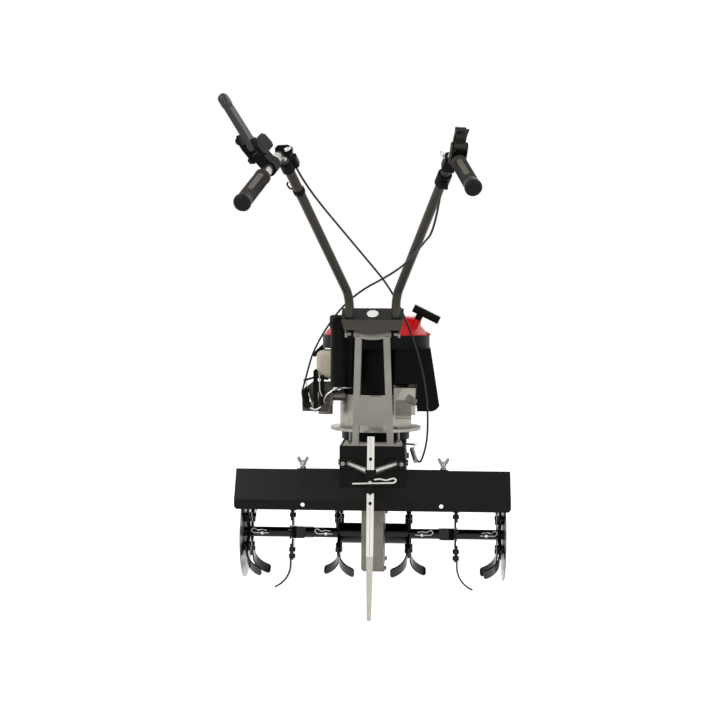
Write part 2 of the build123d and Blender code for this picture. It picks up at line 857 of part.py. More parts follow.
with BuildPart() as hood_centre:
    add(hood_strip(-hood_seam, hood_seam, 0))
    with Locations((0, axle_y, hood_cut_z + 60)):
        Box(2 * (chassis_half + slip_fit), 500, 120, mode=Mode.SUBTRACT)
    for side in (1, -1):
        flange = Plane(origin=(side * (chassis_half + slip_fit), 0, 0), x_dir=(0, side, 0), z_dir=(side, 0, 0))
        with BuildSketch(flange):
            with BuildLine():
                Polyline(
                    (side * (axle_y - 110), hood_height(-110) - 1),
                    (side * (axle_y - 110), hood_bolt_z + 12),
                    (side * (axle_y + 110), hood_bolt_z + 12),
                    (side * (axle_y + 110), hood_height(110) - 1),
                    close=True,
                )
            make_face()
        extrude(amount=hood_sheet)
        with Locations((side * chassis_half, axle_y - hood_bolt_span, hood_bolt_z)):
            Cylinder(frame_bolt_radius + slip_fit, 20, rotation=(0, 90, 0), mode=Mode.SUBTRACT)
        with Locations((side * chassis_half, axle_y + hood_bolt_span, hood_bolt_z)):
            Cylinder(frame_bolt_radius + slip_fit, 20, rotation=(0, 90, 0), mode=Mode.SUBTRACT)
    with Locations((lip_hole_x, axle_y - 172, lip_hole_z), (-lip_hole_x, axle_y - 172, lip_hole_z)):
        Cylinder(5, 30, rotation=(90, 0, 0), mode=Mode.SUBTRACT)
    for side in (1, -1):
        with BuildSketch(seam_plane(side)):
            Circle(frame_bolt_radius + slip_fit)
        extrude(amount=10, both=True, mode=Mode.SUBTRACT)
save(hood_centre.part, "hood_centre")

with BuildPart() as hood_wing_right:
    add(hood_strip(hood_seam - hood_overlap, hood_half, hood_sheet + slip_fit))
    with Locations((lip_hole_x, axle_y - 172, lip_hole_z)):
        Cylinder(5, 30, rotation=(90, 0, 0), mode=Mode.SUBTRACT)
    with BuildSketch(seam_plane(1)):
        Circle(frame_bolt_radius + slip_fit)
    extrude(amount=10, both=True, mode=Mode.SUBTRACT)
    ends = hood_wing_right.edges().filter_by(lambda edge: edge.length < hood_sheet + 0.1)
    corners = [edge for edge in ends if edge.center().X > hood_half - 1]
    fillet(corners, radius=10)
save(hood_wing_right.part, "hood_wing_right")

with BuildPart() as hood_wing_left:
    add(mirrored(hood_wing_right.part))
save(hood_wing_left.part, "hood_wing_left")

# Column: two inclined channels, cross plates, foot and head tube
column_rise = column_top_z - deck_z


def rail_rear(z):
    """Where the rails' rear faces lie at a height."""
    share = (z - deck_z) / column_rise
    middle = column_foot_y + (column_top_y - column_foot_y) * share
    return middle - (rail_foot_depth + (rail_top_depth - rail_foot_depth) * share) / 2


with BuildPart() as column_frame:
    for side in (1, -1):
        with BuildSketch(level(deck_z, side * rail_foot_x, column_foot_y)):
            Rectangle(rail_width, rail_foot_depth)
        with BuildSketch(level(column_top_z, side * rail_top_x, column_top_y)):
            Rectangle(rail_width, rail_top_depth)
        loft()
        with BuildSketch(level(deck_z, side * (rail_foot_x - 2), column_foot_y)):
            Rectangle(rail_width - 2, rail_foot_depth - 2 * rail_wall)
        with BuildSketch(level(column_top_z, side * (rail_top_x - 2), column_top_y)):
            Rectangle(rail_width - 2, rail_top_depth - 2 * rail_wall)
        loft(mode=Mode.SUBTRACT)
    with BuildSketch(Plane(origin=(-38, 0, 0), x_dir=(0, 1, 0), z_dir=(1, 0, 0))):
        with BuildLine():
            Polyline(
                (rail_rear(web_foot_z), web_foot_z),
                (rail_rear(web_top_z), web_top_z),
                (rail_rear(web_top_z) + rail_wall, web_top_z),
                (rail_rear(web_foot_z) + rail_wall, web_foot_z),
                close=True,
            )
        make_face()
    extrude(amount=76)
    with BuildSketch(Plane(origin=(0, rail_rear(column_top_z), 0), x_dir=(1, 0, 0), z_dir=(0, -1, 0))):
        with BuildLine():
            strip_foot = column_top_z - 3
            Polyline((-32, strip_foot), (-32, pivot_z), (32, pivot_z), (32, strip_foot))
            ThreePointArc((-32, strip_foot), (0, strip_foot - 5), (32, strip_foot))
        make_face()
    extrude(amount=-6)
    with BuildSketch(level(deck_z, 0, column_foot_y)):
        Rectangle(2 * column_bolt_x + 20, 2 * column_bolt_y + 18)
        with GridLocations(2 * column_bolt_x, 2 * column_bolt_y, 2, 2):
            Circle(frame_bolt_radius + slip_fit, mode=Mode.SUBTRACT)
    extrude(amount=4)
    with BuildSketch(Plane(origin=(-head_half, pivot_y, pivot_z), x_dir=(0, 1, 0), z_dir=(1, 0, 0))):
        Circle(head_radius)
    extrude(amount=2 * head_half)
    with BuildSketch(Plane(origin=(-head_half, pivot_y, pivot_z), x_dir=(0, 1, 0), z_dir=(1, 0, 0))):
        Circle(pivot_bolt_radius + slip_fit)
    extrude(amount=2 * head_half, mode=Mode.SUBTRACT)
save(column_frame.part, "column_frame")

# Yoke: a hollow wedge with two tube sockets and two pivot lugs
yoke_rear = yoke_y - 18.0
yoke_front = yoke_y + 22.0
lug_start = head_half + body_gap
with BuildPart() as handle_yoke:
    with BuildSketch(Plane(origin=(-yoke_half, 0, 0), x_dir=(0, 1, 0), z_dir=(1, 0, 0))):
        with BuildLine():
            Polyline(
                (yoke_rear, yoke_skirt_z),
                (yoke_rear, yoke_brow_z),
                (yoke_front, yoke_crown_z),
                (yoke_front, yoke_skirt_z + 12),
                close=True,
            )
        make_face()
    extrude(amount=2 * yoke_half)
    with BuildSketch(Plane(origin=(yoke_wall - yoke_half, 0, 0), x_dir=(0, 1, 0), z_dir=(1, 0, 0))):
        with BuildLine():
            Polyline(
                (yoke_rear + yoke_wall, yoke_skirt_z - 10),
                (yoke_rear + yoke_wall, yoke_brow_z - 2),
                (yoke_front - yoke_wall, yoke_crown_z - 7.5),
                (yoke_front - yoke_wall, yoke_skirt_z - 10),
                close=True,
            )
        make_face()
    extrude(amount=2 * (yoke_half - yoke_wall), mode=Mode.SUBTRACT)
    with BuildSketch(Plane(origin=(0, yoke_rear, 0), x_dir=(1, 0, 0), z_dir=(0, -1, 0))):
        with BuildLine():
            Line((-48, yoke_skirt_z + 1), (48, yoke_skirt_z + 1))
            ThreePointArc((48, yoke_skirt_z + 1), (0, yoke_skirt_z - 9), (-48, yoke_skirt_z + 1))
        make_face()
    extrude(amount=-yoke_wall)
    with BuildSketch(Plane(origin=(0, yoke_front + 1, 0), x_dir=(1, 0, 0), z_dir=(0, -1, 0))):
        with BuildLine():
            Polyline(
                (-yoke_foot_half, pivot_z - 21),
                (-yoke_half, yoke_brow_z),
                (-yoke_half, yoke_crown_z + 16),
                (yoke_half, yoke_crown_z + 16),
                (yoke_half, yoke_brow_z),
                (yoke_foot_half, pivot_z - 21),
                close=True,
            )
        make_face()
    extrude(amount=60, mode=Mode.INTERSECT)
    for side in (1, -1):
        with BuildSketch(level(socket_z, side * handle_foot_x, yoke_y)):
            Circle(tube_radius + 4.6)
        extrude(amount=yoke_brow_z + 6 - socket_z)
        lug_place = (side * lug_start, pivot_y, pivot_z)
        with BuildSketch(Plane(origin=lug_place, x_dir=(0, side, 0), z_dir=(side, 0, 0))):
            Circle(13)
            with Locations((0, 16)):
                Rectangle(26, 32)
        extrude(amount=yoke_foot_half - lug_start)
        with BuildSketch(level(yoke_skirt_z - 30, side * handle_foot_x, yoke_y)):
            Circle(tube_radius + slip_fit)
        extrude(amount=130, mode=Mode.SUBTRACT)
        with Locations((side * head_half, pivot_y, pivot_z)):
            Cylinder(pivot_bolt_radius + running_fit, 60, rotation=(0, 90, 0), mode=Mode.SUBTRACT)
save(handle_yoke.part, "handle_yoke")

# Handle tubes and grips


def grip_line(side):
    """The direction of one grip, outward, rearward and down."""
    level_run = cos(grip_droop)
    return Vector(side * sin(grip_splay) * level_run, -cos(grip_splay) * level_run, -sin(grip_droop))


def handle_tube(side, run):
    """One bent handle tube from its socket to just inside the grip's end."""
    top = Vector(side * bend_top_x, axle_y - bend_top_back, bend_top_z)
    points = [
        (side * handle_foot_x, yoke_y, socket_z),
        (side * handle_foot_x, yoke_y, handle_bend_z),
        top,
        top + grip_line(side) * (run - cap_thickness - slip_fit),
    ]
    return round_bar(points, (handle_bend_radius, handle_top_radius), tube_radius, tube_radius - tube_wall)


def grip(side, run):
    """A rubber grip, closed at its end, over the last stretch of the tube."""
    top = Vector(side * bend_top_x, axle_y - bend_top_back, bend_top_z)
    start = top + grip_line(side) * (run - grip_length)
    with BuildPart() as rubber:
        with BuildSketch(Plane(origin=start, z_dir=grip_line(side))):
            Circle(grip_radius)
        extrude(amount=grip_length)
        fillet(rubber.edges(), radius=3)
        with BuildSketch(Plane(origin=start, z_dir=grip_line(side))):
            Circle(tube_radius + slip_fit)
        extrude(amount=grip_length - cap_thickness, mode=Mode.SUBTRACT)
    return rubber.part


save(handle_tube(1, grip_run_right), "handle_tube_right")
save(handle_tube(-1, grip_run_left), "handle_tube_left")
save(grip(1, grip_run_right), "grip_right")
save(grip(-1, grip_run_left), "grip_left")

# Clutch lever and its perch on the left grip tube
left_line = grip_line(-1)
left_top = Vector(-bend_top_x, axle_y - bend_top_back, bend_top_z)
perch_place = left_top + left_line * perch_run
perch_up = unit(-0.62, -0.15, 0.77)
perch_up = (perch_up - left_line * perch_up.dot(left_line)).normalized()
lever_axis = perch_up.cross(left_line).normalized()
lever_pivot = perch_place + perch_up * perch_lift
lever_line = (perch_up * cos(lever_lean) - left_line * sin(lever_lean)).normalized()
button_place = lever_pivot - perch_up * 20
print("lever axis", lever_axis, "pivot", lever_pivot)

with BuildPart() as lever_perch:
    with BuildSketch(Plane(origin=perch_place - left_line * 16, z_dir=left_line)):
        Circle(tube_radius + 6)
    extrude(amount=32)
    with BuildSketch(Plane(origin=perch_place, x_dir=left_line, z_dir=perch_up)):
        Rectangle(30, 2 * (lever_hub_half + body_gap + cheek))
    extrude(amount=perch_lift - 17)
    for side in (1, -1):
        cheek_plane = Plane(origin=lever_pivot, x_dir=perch_up, z_dir=lever_axis * side)
        with BuildSketch(cheek_plane.offset(lever_hub_half + body_gap)):
            Circle(14)
            with Locations((-14, 0)):
                Rectangle(28, 28)
        extrude(amount=cheek)
    pin_plane = Plane(origin=lever_pivot, x_dir=perch_up, z_dir=lever_axis)
    with BuildSketch(pin_plane.offset(-lever_hub_half - 1)):
        Circle(lever_pin_radius)
    extrude(amount=2 * lever_hub_half + 2)
    boss = Plane(origin=button_place, x_dir=perch_up, z_dir=lever_axis * -1)
    with BuildSketch(boss.offset(lever_hub_half + body_gap + cheek - 1)):
        Circle(button_radius + 3)
        Circle(button_radius + running_fit, mode=Mode.SUBTRACT)
    extrude(amount=12)
    with BuildSketch(Plane(origin=perch_place - left_line * 20, z_dir=left_line)):
        Circle(tube_radius + slip_fit)
    extrude(amount=40, mode=Mode.SUBTRACT)
save(lever_perch.part, "lever_perch")

with BuildPart() as lock_button:
    with BuildSketch(boss.offset(lever_hub_half + body_gap + cheek + button_travel + body_gap)):
        Circle(button_radius)
    extrude(amount=12)
    fillet(lock_button.edges().group_by(Axis((0, 0, 0), boss.z_dir))[-1], radius=2)
save(lock_button.part, "lock_button")

blade_plane = Plane(origin=lever_pivot, x_dir=lever_line, z_dir=lever_axis)
with BuildPart() as lever_knob:
    with BuildSketch(blade_plane):
        with Locations((lever_length, 0)):
            SlotCenterToCenter(knob_run, 2 * knob_radius)
    extrude(amount=knob_half, both=True)
    rims = [edge for edge in lever_knob.edges() if abs(edge.length - 2 * knob_half) > 0.01]
    fillet(rims, radius=0.8 * knob_half)

with BuildPart() as clutch_lever:
    with BuildSketch(blade_plane):
        Circle(12)
    extrude(amount=lever_hub_half, both=True)
    with BuildSketch(blade_plane):
        with BuildLine():
            Polyline((0, -10.5), (lever_length, -9), (lever_length, 9), (0, 10.5), close=True)
        make_face()
    extrude(amount=lever_half, both=True)
    add(lever_knob.part)
    with BuildSketch(blade_plane.offset(-lever_hub_half - 1)):
        Circle(lever_pin_radius + running_fit)
    extrude(amount=2 * lever_hub_half + 2, mode=Mode.SUBTRACT)
save(clutch_lever.part, "clutch_lever")

# Cable anchor on the left tube, just below its top bend
tube_rise = unit(bend_top_x - handle_foot_x, -bend_top_back + axle_y - yoke_y, bend_top_z - handle_bend_z)
left_rise = Vector(-tube_rise.X, tube_rise.Y, tube_rise.Z)
anchor_plane = Plane(origin=left_top - left_rise * 39, x_dir=(1, 0, 0), z_dir=left_rise)
with BuildPart() as cable_anchor:
    with BuildSketch(anchor_plane.offset(-12)):
        Circle(tube_radius + 4)
        with Locations((9, 12)):
            RectangleRounded(30, 22, 6)
        Circle(tube_radius + slip_fit, mode=Mode.SUBTRACT)
    extrude(amount=24)
save(cable_anchor.part, "cable_anchor")

# Throttle clamp and lever on the right grip tube, with the cable block on the main tube
right_line = grip_line(1)
right_top = Vector(bend_top_x, axle_y - bend_top_back, bend_top_z)
throttle_place = right_top + right_line * throttle_run
throttle_up = (Vector(0, 0, 1) - right_line * right_line.Z).normalized()
throttle_axis = throttle_up.cross(right_line).normalized() * -1
throttle_pivot = throttle_place + throttle_up * throttle_lift
block_place = right_top - tube_rise * 78
prong_line = unit(0, -0.25, -1)
prong_way = (Vector(0, -1, 0) + tube_rise * tube_rise.Y).normalized()
prong_start = block_place + prong_way * (tube_radius + block_wall)
prong_end = prong_start + prong_line * prong_length
print("throttle axis", throttle_axis, "pivot", throttle_pivot, "prong", prong_end)

with BuildPart() as throttle_clamp:
    with BuildSketch(Plane(origin=throttle_place - right_line * 10, z_dir=right_line)):
        Circle(tube_radius + 5)
        Circle(tube_radius + slip_fit, mode=Mode.SUBTRACT)
    extrude(amount=20)
    for side in (1, -1):
        cheek_plane = Plane(origin=throttle_pivot, x_dir=throttle_up, z_dir=throttle_axis * side)
        with BuildSketch(cheek_plane.offset(throttle_half + body_gap)):
            Circle(9)
            with Locations((-throttle_lift / 2, 0)):
                Rectangle(throttle_lift, 18)
        extrude(amount=3)
        with BuildSketch(cheek_plane.offset(tube_radius + 2)):
            with Locations((-throttle_lift, 0)):
                Rectangle(18, 18)
        extrude(amount=throttle_half + body_gap + 3 - tube_radius - 2)
    pin_plane = Plane(origin=throttle_pivot, x_dir=throttle_up, z_dir=throttle_axis)
    with BuildSketch(pin_plane.offset(-throttle_half - 1)):
        Circle(lever_pin_radius)
    extrude(amount=2 * throttle_half + 2)
    with BuildSketch(Plane(origin=block_place - tube_rise * 15, x_dir=(1, 0, 0), z_dir=tube_rise)):
        Circle(tube_radius + 5)
        Circle(tube_radius + slip_fit, mode=Mode.SUBTRACT)
    extrude(amount=30)
    for shift in (-1, 11):
        with BuildSketch(Plane(origin=prong_start + Vector(shift, 0, 0), z_dir=prong_line)):
            Circle(4)
        extrude(amount=prong_length)
save(throttle_clamp.part, "throttle_clamp")

with BuildPart() as throttle_lever:
    thumb_plane = Plane(origin=throttle_pivot, x_dir=throttle_up, z_dir=throttle_axis)
    with BuildSketch(thumb_plane):
        Circle(9)
        with BuildLine():
            ThreePointArc((0, 9), (24, 6), (42, -8))
            Line((42, -8), (39, -11))
            ThreePointArc((39, -11), (22, 0), (0, 2))
            Line((0, 2), (0, 9))
        make_face()
    extrude(amount=throttle_half, both=True)
    with BuildSketch(thumb_plane):
        Circle(lever_pin_radius + running_fit)
    extrude(amount=throttle_half + 1, both=True, mode=Mode.SUBTRACT)
save(throttle_lever.part, "throttle_lever")

# Depth bar: a V section on a slant, with a row of holes and a slot for the holder's pin
bar_line = unit(0, bar_top_y - bar_foot_y, bar_top_z)
bar_length = hypot(bar_top_y - bar_foot_y, bar_top_z)
bar_plane = Plane(origin=(0, bar_foot_y, 0), x_dir=(1, 0, 0), z_dir=bar_line)
bar_inset = bar_sheet * sqrt(2)
with BuildPart() as depth_bar:
    with BuildSketch(bar_plane.offset(-20)):
        with BuildLine():
            Polyline(
                (0, 0),
                (bar_leg, bar_leg),
                (bar_leg - bar_inset / 2, bar_leg + bar_inset / 2),
                (0, bar_inset),
                (bar_inset / 2 - bar_leg, bar_leg + bar_inset / 2),
                (-bar_leg, bar_leg),
                close=True,
            )
        make_face()
    extrude(amount=bar_length + 20)
    with Locations((0, bar_foot_y, -30)):
        Box(100, 100, 60, mode=Mode.SUBTRACT)
    with BuildSketch(Plane(origin=(0, bar_foot_y, 0), x_dir=(1, 0, 0), z_dir=bar_plane.y_dir)):
        for side in (1, -1):
            with BuildLine():
                Polyline(
                    (side * bar_foot_half, 0),
                    (side * (bar_leg + 0.1), -bar_taper),
                    (side * (bar_leg + 9), -bar_taper),
                    (side * (bar_leg + 9), 20),
                    (side * bar_foot_half, 20),
                    close=True,
                )
            make_face()
    extrude(amount=40, both=True, mode=Mode.SUBTRACT)
    for run in bar_holes:
        with Locations(Location(bar_plane.offset(run)) * Location((0, 0, 0), (90, 0, 0))):
            Cylinder(bar_bolt_radius + 0.3, 30, mode=Mode.SUBTRACT)
    bolt_plane = Plane(origin=bar_plane.offset(bar_bolt_run).origin, x_dir=(1, 0, 0), z_dir=bar_plane.y_dir)
    with BuildSketch(bolt_plane.offset(-5)):
        SlotCenterToCenter(2 * bar_slide, 2 * (bar_bolt_radius + body_gap), rotation=90)
    extrude(amount=30, mode=Mode.SUBTRACT)
save(depth_bar.part, "depth_bar")

# Pin through the sleeve, its head ahead and its tail behind with a wire clip through it
with BuildPart() as bar_bolt:
    with BuildSketch(bolt_plane.offset(-bar_clip_back - 5)):
        Circle(bar_bolt_radius)
    extrude(amount=bar_clip_back + 5 + nose_end + 1)
    with BuildSketch(bolt_plane.offset(nose_end + slip_fit)):
        Circle(bar_bolt_radius + 2.5)
    extrude(amount=4)
    clip_place = bolt_plane.offset(-bar_clip_back)
    with Locations(Location(clip_place) * Location((0, 0, 0), (0, 90, 0))):
        Cylinder(bar_clip_wire + slip_fit, 20, mode=Mode.SUBTRACT)
    clip_points = [clip_place.from_local_coords(Vector(x, z, 0)) for x, z in bar_clip_shape]
    add(round_bar(clip_points, 3, bar_clip_wire))
save(bar_bolt.part, "bar_bolt")

# Holder: a sleeve round the bar with a nose inside its V, on two round arms from the chassis
nose_apex = bar_inset + body_gap * sqrt(2)
sleeve_half = bar_leg + body_gap + sleeve_wall
sleeve_back = 2 * body_gap + sleeve_wall
bar_depth = bar_leg + bar_inset / 2 + body_gap
with BuildPart() as bar_holder:
    with BuildSketch(bar_plane.offset(sleeve_start)):
        with Locations((0, (nose_end - sleeve_back) / 2)):
            Rectangle(2 * sleeve_half, nose_end + sleeve_back)
        with Locations((0, (bar_depth - 2 * body_gap) / 2)):
            Rectangle(2 * (bar_leg + body_gap), bar_depth + 2 * body_gap, mode=Mode.SUBTRACT)
        with BuildLine():
            Polyline(
                (0, nose_apex),
                (8, nose_apex + 8),
                (8, nose_end),
                (-8, nose_end),
                (-8, nose_apex + 8),
                close=True,
            )
        make_face()
    extrude(amount=sleeve_length)
    nose_middle = bar_plane.offset(sleeve_start + sleeve_length - 4).from_local_coords(Vector(0, 22, 0))
    for side in (1, -1):
        arm_start = Vector(side * (sleeve_half - 3), nose_middle.Y, nose_middle.Z)
        arm_end = Vector(side * arm_end_x, chassis_rear - 5, arm_end_z)
        with BuildSketch(Plane(origin=arm_start, z_dir=arm_end - arm_start)):
            Circle(arm_radius)
        extrude(amount=(arm_end - arm_start).length)
        with Locations((side * arm_end_x, chassis_rear - 3, arm_end_z)):
            Box(44, 6, 26)
        with Locations((side * (arm_end_x + 15), chassis_rear - 3, arm_end_z)):
            Cylinder(small_bolt_radius + slip_fit, 20, rotation=(90, 0, 0), mode=Mode.SUBTRACT)
    with BuildSketch(bolt_plane.offset(-10)):
        Circle(bar_bolt_radius + slip_fit)
    extrude(amount=nose_end + 20, mode=Mode.SUBTRACT)
save(bar_holder.part, "bar_holder")

# Crankcase on the deck, with a bearing bore at each end and a valve chest at the right rear
with BuildPart() as engine_crankcase:
    with BuildSketch(level(deck_z, 0, crank_y)):
        Circle(case_radius - base_step)
    extrude(amount=flange_z - deck_z)
    with BuildSketch(level(flange_z, 0, crank_y)):
        Circle(case_radius + flange_lip)
        with GridLocations(2 * engine_bolt_x, 2 * engine_bolt_y, 2, 2):
            Circle(frame_bolt_radius + slip_fit, mode=Mode.SUBTRACT)
    extrude(amount=flange_thickness)
    with BuildSketch(level(flange_z, 0, crank_y)):
        Circle(case_radius)
    extrude(amount=case_top - flange_z)
    with Locations((78, axle_y - 14, (chest_bottom + chest_top) / 2)):
        Box(56, 52, chest_top - chest_bottom)
    with BuildSketch(level(deck_z + 12, 0, crank_y)):
        Circle(case_radius - 10)
    extrude(amount=case_top - deck_z - 20, mode=Mode.SUBTRACT)
    with BuildSketch(level(deck_z, 0, crank_y)):
        Circle(crank_radius + running_fit)
    extrude(amount=case_top - deck_z, mode=Mode.SUBTRACT)
    with BuildSketch(Plane(origin=(0, crank_y, cylinder_z), x_dir=(0, 1, 0), z_dir=(1, 0, 0))):
        Circle(30)
    extrude(amount=2 * case_radius, mode=Mode.SUBTRACT)
save(engine_crankcase.part, "engine_crankcase")

# Finned cylinder on the right of the crankcase, its bore open to the case
with BuildPart() as cylinder_block:
    barrel_start = (case_radius - 30, crank_y, cylinder_z)
    barrel_plane = Plane(origin=barrel_start, x_dir=(0, 1, 0), z_dir=(1, 0, 0))
    with BuildSketch(barrel_plane):
        Circle(42)
    extrude(amount=barrel_end - case_radius + 30)
    for fin in range(fin_count):
        with BuildSketch(barrel_plane.offset(36 + fin_pitch * fin)):
            RectangleRounded(2 * fin_half, 2 * fin_half, 12)
        extrude(amount=3)
    with BuildSketch(barrel_plane.offset(barrel_end - case_radius + 30)):
        RectangleRounded(96, 96, 12)
    extrude(amount=8)
    with BuildSketch(level(cylinder_z - 80, 0, crank_y)):
        Circle(case_radius + slip_fit)
    extrude(amount=160, mode=Mode.SUBTRACT)
    with BuildSketch(barrel_plane):
        Circle(30)
    extrude(amount=barrel_end - case_radius + 26, mode=Mode.SUBTRACT)
    plug_plane = Plane(origin=(barrel_end + 4, crank_y + 40, cylinder_z), x_dir=(1, 0, 0), z_dir=(0, 1, 0))
    with BuildSketch(plug_plane):
        Circle(small_bolt_radius + slip_fit)
    extrude(amount=40, mode=Mode.SUBTRACT)
save(cylinder_block.part, "cylinder_block")

with BuildPart() as spark_plug:
    with BuildSketch(plug_plane):
        Circle(3)
    extrude(amount=14)
    with BuildSketch(plug_plane.offset(12.5)):
        Circle(8)
    extrude(amount=24)
    with BuildSketch(plug_plane.offset(32)):
        Circle(5)
    extrude(amount=20)
save(spark_plug.part, "spark_plug")

# Crankshaft with two webs, flywheel with fan blades
with BuildPart() as crankshaft:
    with BuildSketch(level(crank_bottom, 0, crank_y)):
        Circle(crank_radius)
    extrude(amount=cylinder_z - 14 - crank_bottom)
    with BuildSketch(level(cylinder_z + 14, 0, crank_y)):
        Circle(crank_radius)
    extrude(amount=drum_top - 8 - cylinder_z - 14)
    for web in (-22, 10):
        with BuildSketch(level(cylinder_z + web, 0, crank_y)):
            Circle(24)
            with Locations((0, 25)):
                Rectangle(38, 50)
            with Locations((0, -28)):
                Rectangle(76, 34)
        extrude(amount=12)
    with BuildSketch(level(cylinder_z - 11, 0, crank_y + 30)):
        Circle(11)
    extrude(amount=22)
save(crankshaft.part, "crankshaft")

with BuildPart() as flywheel:
    with BuildSketch(level(drum_bottom + 7, 0, crank_y)):
        Circle(flywheel_radius)
    extrude(amount=7)
    with BuildSketch(level(drum_bottom + 7, 0, crank_y)):
        with PolarLocations(flywheel_radius - 22, 16):
            Rectangle(36, 4, rotation=20)
    extrude(amount=20)
    with BuildSketch(level(drum_bottom + 6, 0, crank_y)):
        Circle(24)
    extrude(amount=18)
    with BuildSketch(level(drum_bottom + 6, 0, crank_y)):
        Circle(crank_radius + slip_fit)
    extrude(amount=30, mode=Mode.SUBTRACT)
save(flywheel.part, "flywheel")

# Fan housing: a flat drum round the flywheel and a shroud down over the cylinder


def shroud_block(inset):
    """The shroud's tapered block, drawn in by a wall thickness on its closed sides."""
    rear = shroud_rear + inset
    front = shroud_front - inset
    start = shroud_inner_x - (1 if inset else 0)
    with BuildPart() as block:
        for z, end in (
            (shroud_foot_z, shroud_foot_x - inset),
            (drum_bottom + drum_sheet - inset, shroud_top_x - inset),
        ):
            with BuildSketch(level(z, (start + end) / 2, (rear + front) / 2)):
                Rectangle(end - start, front - rear)
        loft()
    return block.part


with BuildPart() as blower_housing:
    add(shroud_block(0))
    add(shroud_block(drum_sheet), mode=Mode.SUBTRACT)
    with Locations(((shroud_inner_x + shroud_step_x) / 2 - 5, shroud_rear, shroud_step_z - 50)):
        Box(shroud_step_x - shroud_inner_x + 10, 30, 100, mode=Mode.SUBTRACT)
    corner_plane = Plane(
        origin=(shroud_foot_x - shroud_corner, shroud_rear - 1, shroud_foot_z + shroud_corner),
        x_dir=(1, 0, 0),
        z_dir=(0, 1, 0),
    )
    with BuildSketch(corner_plane):
        with Locations((shroud_corner, shroud_corner)):
            Rectangle(2 * shroud_corner, 2 * shroud_corner)
        Circle(shroud_corner, mode=Mode.SUBTRACT)
    extrude(amount=shroud_front - shroud_rear + 2, mode=Mode.SUBTRACT)
    with BuildSketch(level(drum_bottom, 0, crank_y)):
        Circle(drum_radius)
    extrude(amount=drum_top - drum_bottom)
    with BuildSketch(level(drum_bottom + drum_sheet, 0, crank_y)):
        Circle(drum_radius - drum_sheet)
    extrude(amount=drum_top - drum_bottom - 2 * drum_sheet, mode=Mode.SUBTRACT)
    with BuildSketch(level(drum_top - drum_sheet, 0, crank_y)):
        Circle(100)
        with PolarLocations(ear_ring, 3):
            Circle(small_bolt_radius + slip_fit)
    extrude(amount=drum_sheet, mode=Mode.SUBTRACT)
    with BuildSketch(level(drum_bottom, 0, crank_y)):
        Circle(60)
    extrude(amount=drum_sheet, mode=Mode.SUBTRACT)
    with Locations((barrel_end + 4, shroud_front, cylinder_z), (exhaust_x, shroud_front, exhaust_z)):
        Cylinder(exhaust_radius + 2, 20, rotation=(90, 0, 0), mode=Mode.SUBTRACT)
save(blower_housing.part, "blower_housing")

# Starter cover: a dome on three ears, with vents and a rope guide
rope_exit = Vector(105, axle_y + 8, 706)
rope_line = unit(0.42, -0.30, 0.857)
with BuildPart() as recoil_cover:
    with BuildSketch(level(drum_top, 0, crank_y)):
        Circle(dome_radius)
    extrude(amount=dome_top - drum_top)
    fillet(recoil_cover.edges().group_by(Axis.Z)[-1], radius=16)
    with BuildSketch(Plane(origin=(0, crank_y, drum_top), x_dir=(1, 0, 0), z_dir=(0, -1, 0))):
        with BuildLine():
            Polyline(
                (dome_radius - dome_wall, 0),
                (dome_radius, flare_height - 2 * dome_wall),
                (flare_radius - 2 * dome_wall, 0),
                (flare_radius, 0),
                (flare_radius, dome_wall),
                (dome_radius, flare_height),
                (dome_radius - dome_wall, flare_height),
                close=True,
            )
        make_face()
    revolve(axis=Axis((0, crank_y, 0), (0, 0, 1)))
    with BuildSketch(level(ear_top, 0, crank_y)):
        with PolarLocations(ear_ring, 3):
            Circle(8)
    extrude(amount=flare_height, mode=Mode.SUBTRACT)
    with BuildSketch(level(drum_top, 0, crank_y)):
        with PolarLocations(ear_ring - 10, 3):
            SlotOverall(60, 46, rotation=90)
        Circle(dome_radius - dome_wall, mode=Mode.SUBTRACT)
    extrude(amount=ear_top - drum_top)
    with BuildSketch(Plane(origin=rope_exit - rope_line * 12, z_dir=rope_line)):
        Circle(10)
    extrude(amount=12 + guide_reach)
    with BuildSketch(level(drum_top, 0, crank_y)):
        Circle(dome_radius - dome_wall)
    extrude(amount=dome_top - drum_top - 16, mode=Mode.SUBTRACT)
    with BuildSketch(level(dome_top - 17, 0, crank_y)):
        Circle(dome_radius - 16)
    extrude(amount=17 - dome_wall, mode=Mode.SUBTRACT)
    with BuildSketch(level(dome_top - 20, 0, crank_y)):
        with PolarLocations(60, 12):
            SlotOverall(44, 7)
    extrude(amount=20, mode=Mode.SUBTRACT)
    with BuildSketch(level(drum_top, 0, crank_y)):
        with PolarLocations(ear_ring, 3):
            Circle(small_bolt_radius + slip_fit)
    extrude(amount=10, mode=Mode.SUBTRACT)
    with BuildSketch(Plane(origin=rope_exit - rope_line * 30, z_dir=rope_line)):
        Circle(rope_radius + 1)
    extrude(amount=50, mode=Mode.SUBTRACT)
save(recoil_cover.part, "recoil_cover")

# Pull handle and rope
handle_seat = rope_exit + rope_line * (guide_reach + body_gap)
bar_way = unit(0.887, 0, -0.461)
bar_way = (bar_way - rope_line * bar_way.dot(rope_line)).normalized()
with BuildPart() as starter_handle:
    with BuildSketch(Plane(origin=handle_seat, x_dir=bar_way, z_dir=rope_line)):
        RectangleRounded(18, 15, 5)
    extrude(amount=20)
    grip_middle = handle_seat + rope_line * 22 + bar_way * 14
    with BuildSketch(Plane(origin=grip_middle - bar_way * pull_length / 2, x_dir=rope_line, z_dir=bar_way)):
        RectangleRounded(20, 18, 7)
    extrude(amount=pull_length)
    with BuildSketch(Plane(origin=handle_seat, z_dir=rope_line)):
        Circle(rope_radius + slip_fit)
    extrude(amount=18, mode=Mode.SUBTRACT)
save(starter_handle.part, "starter_handle")

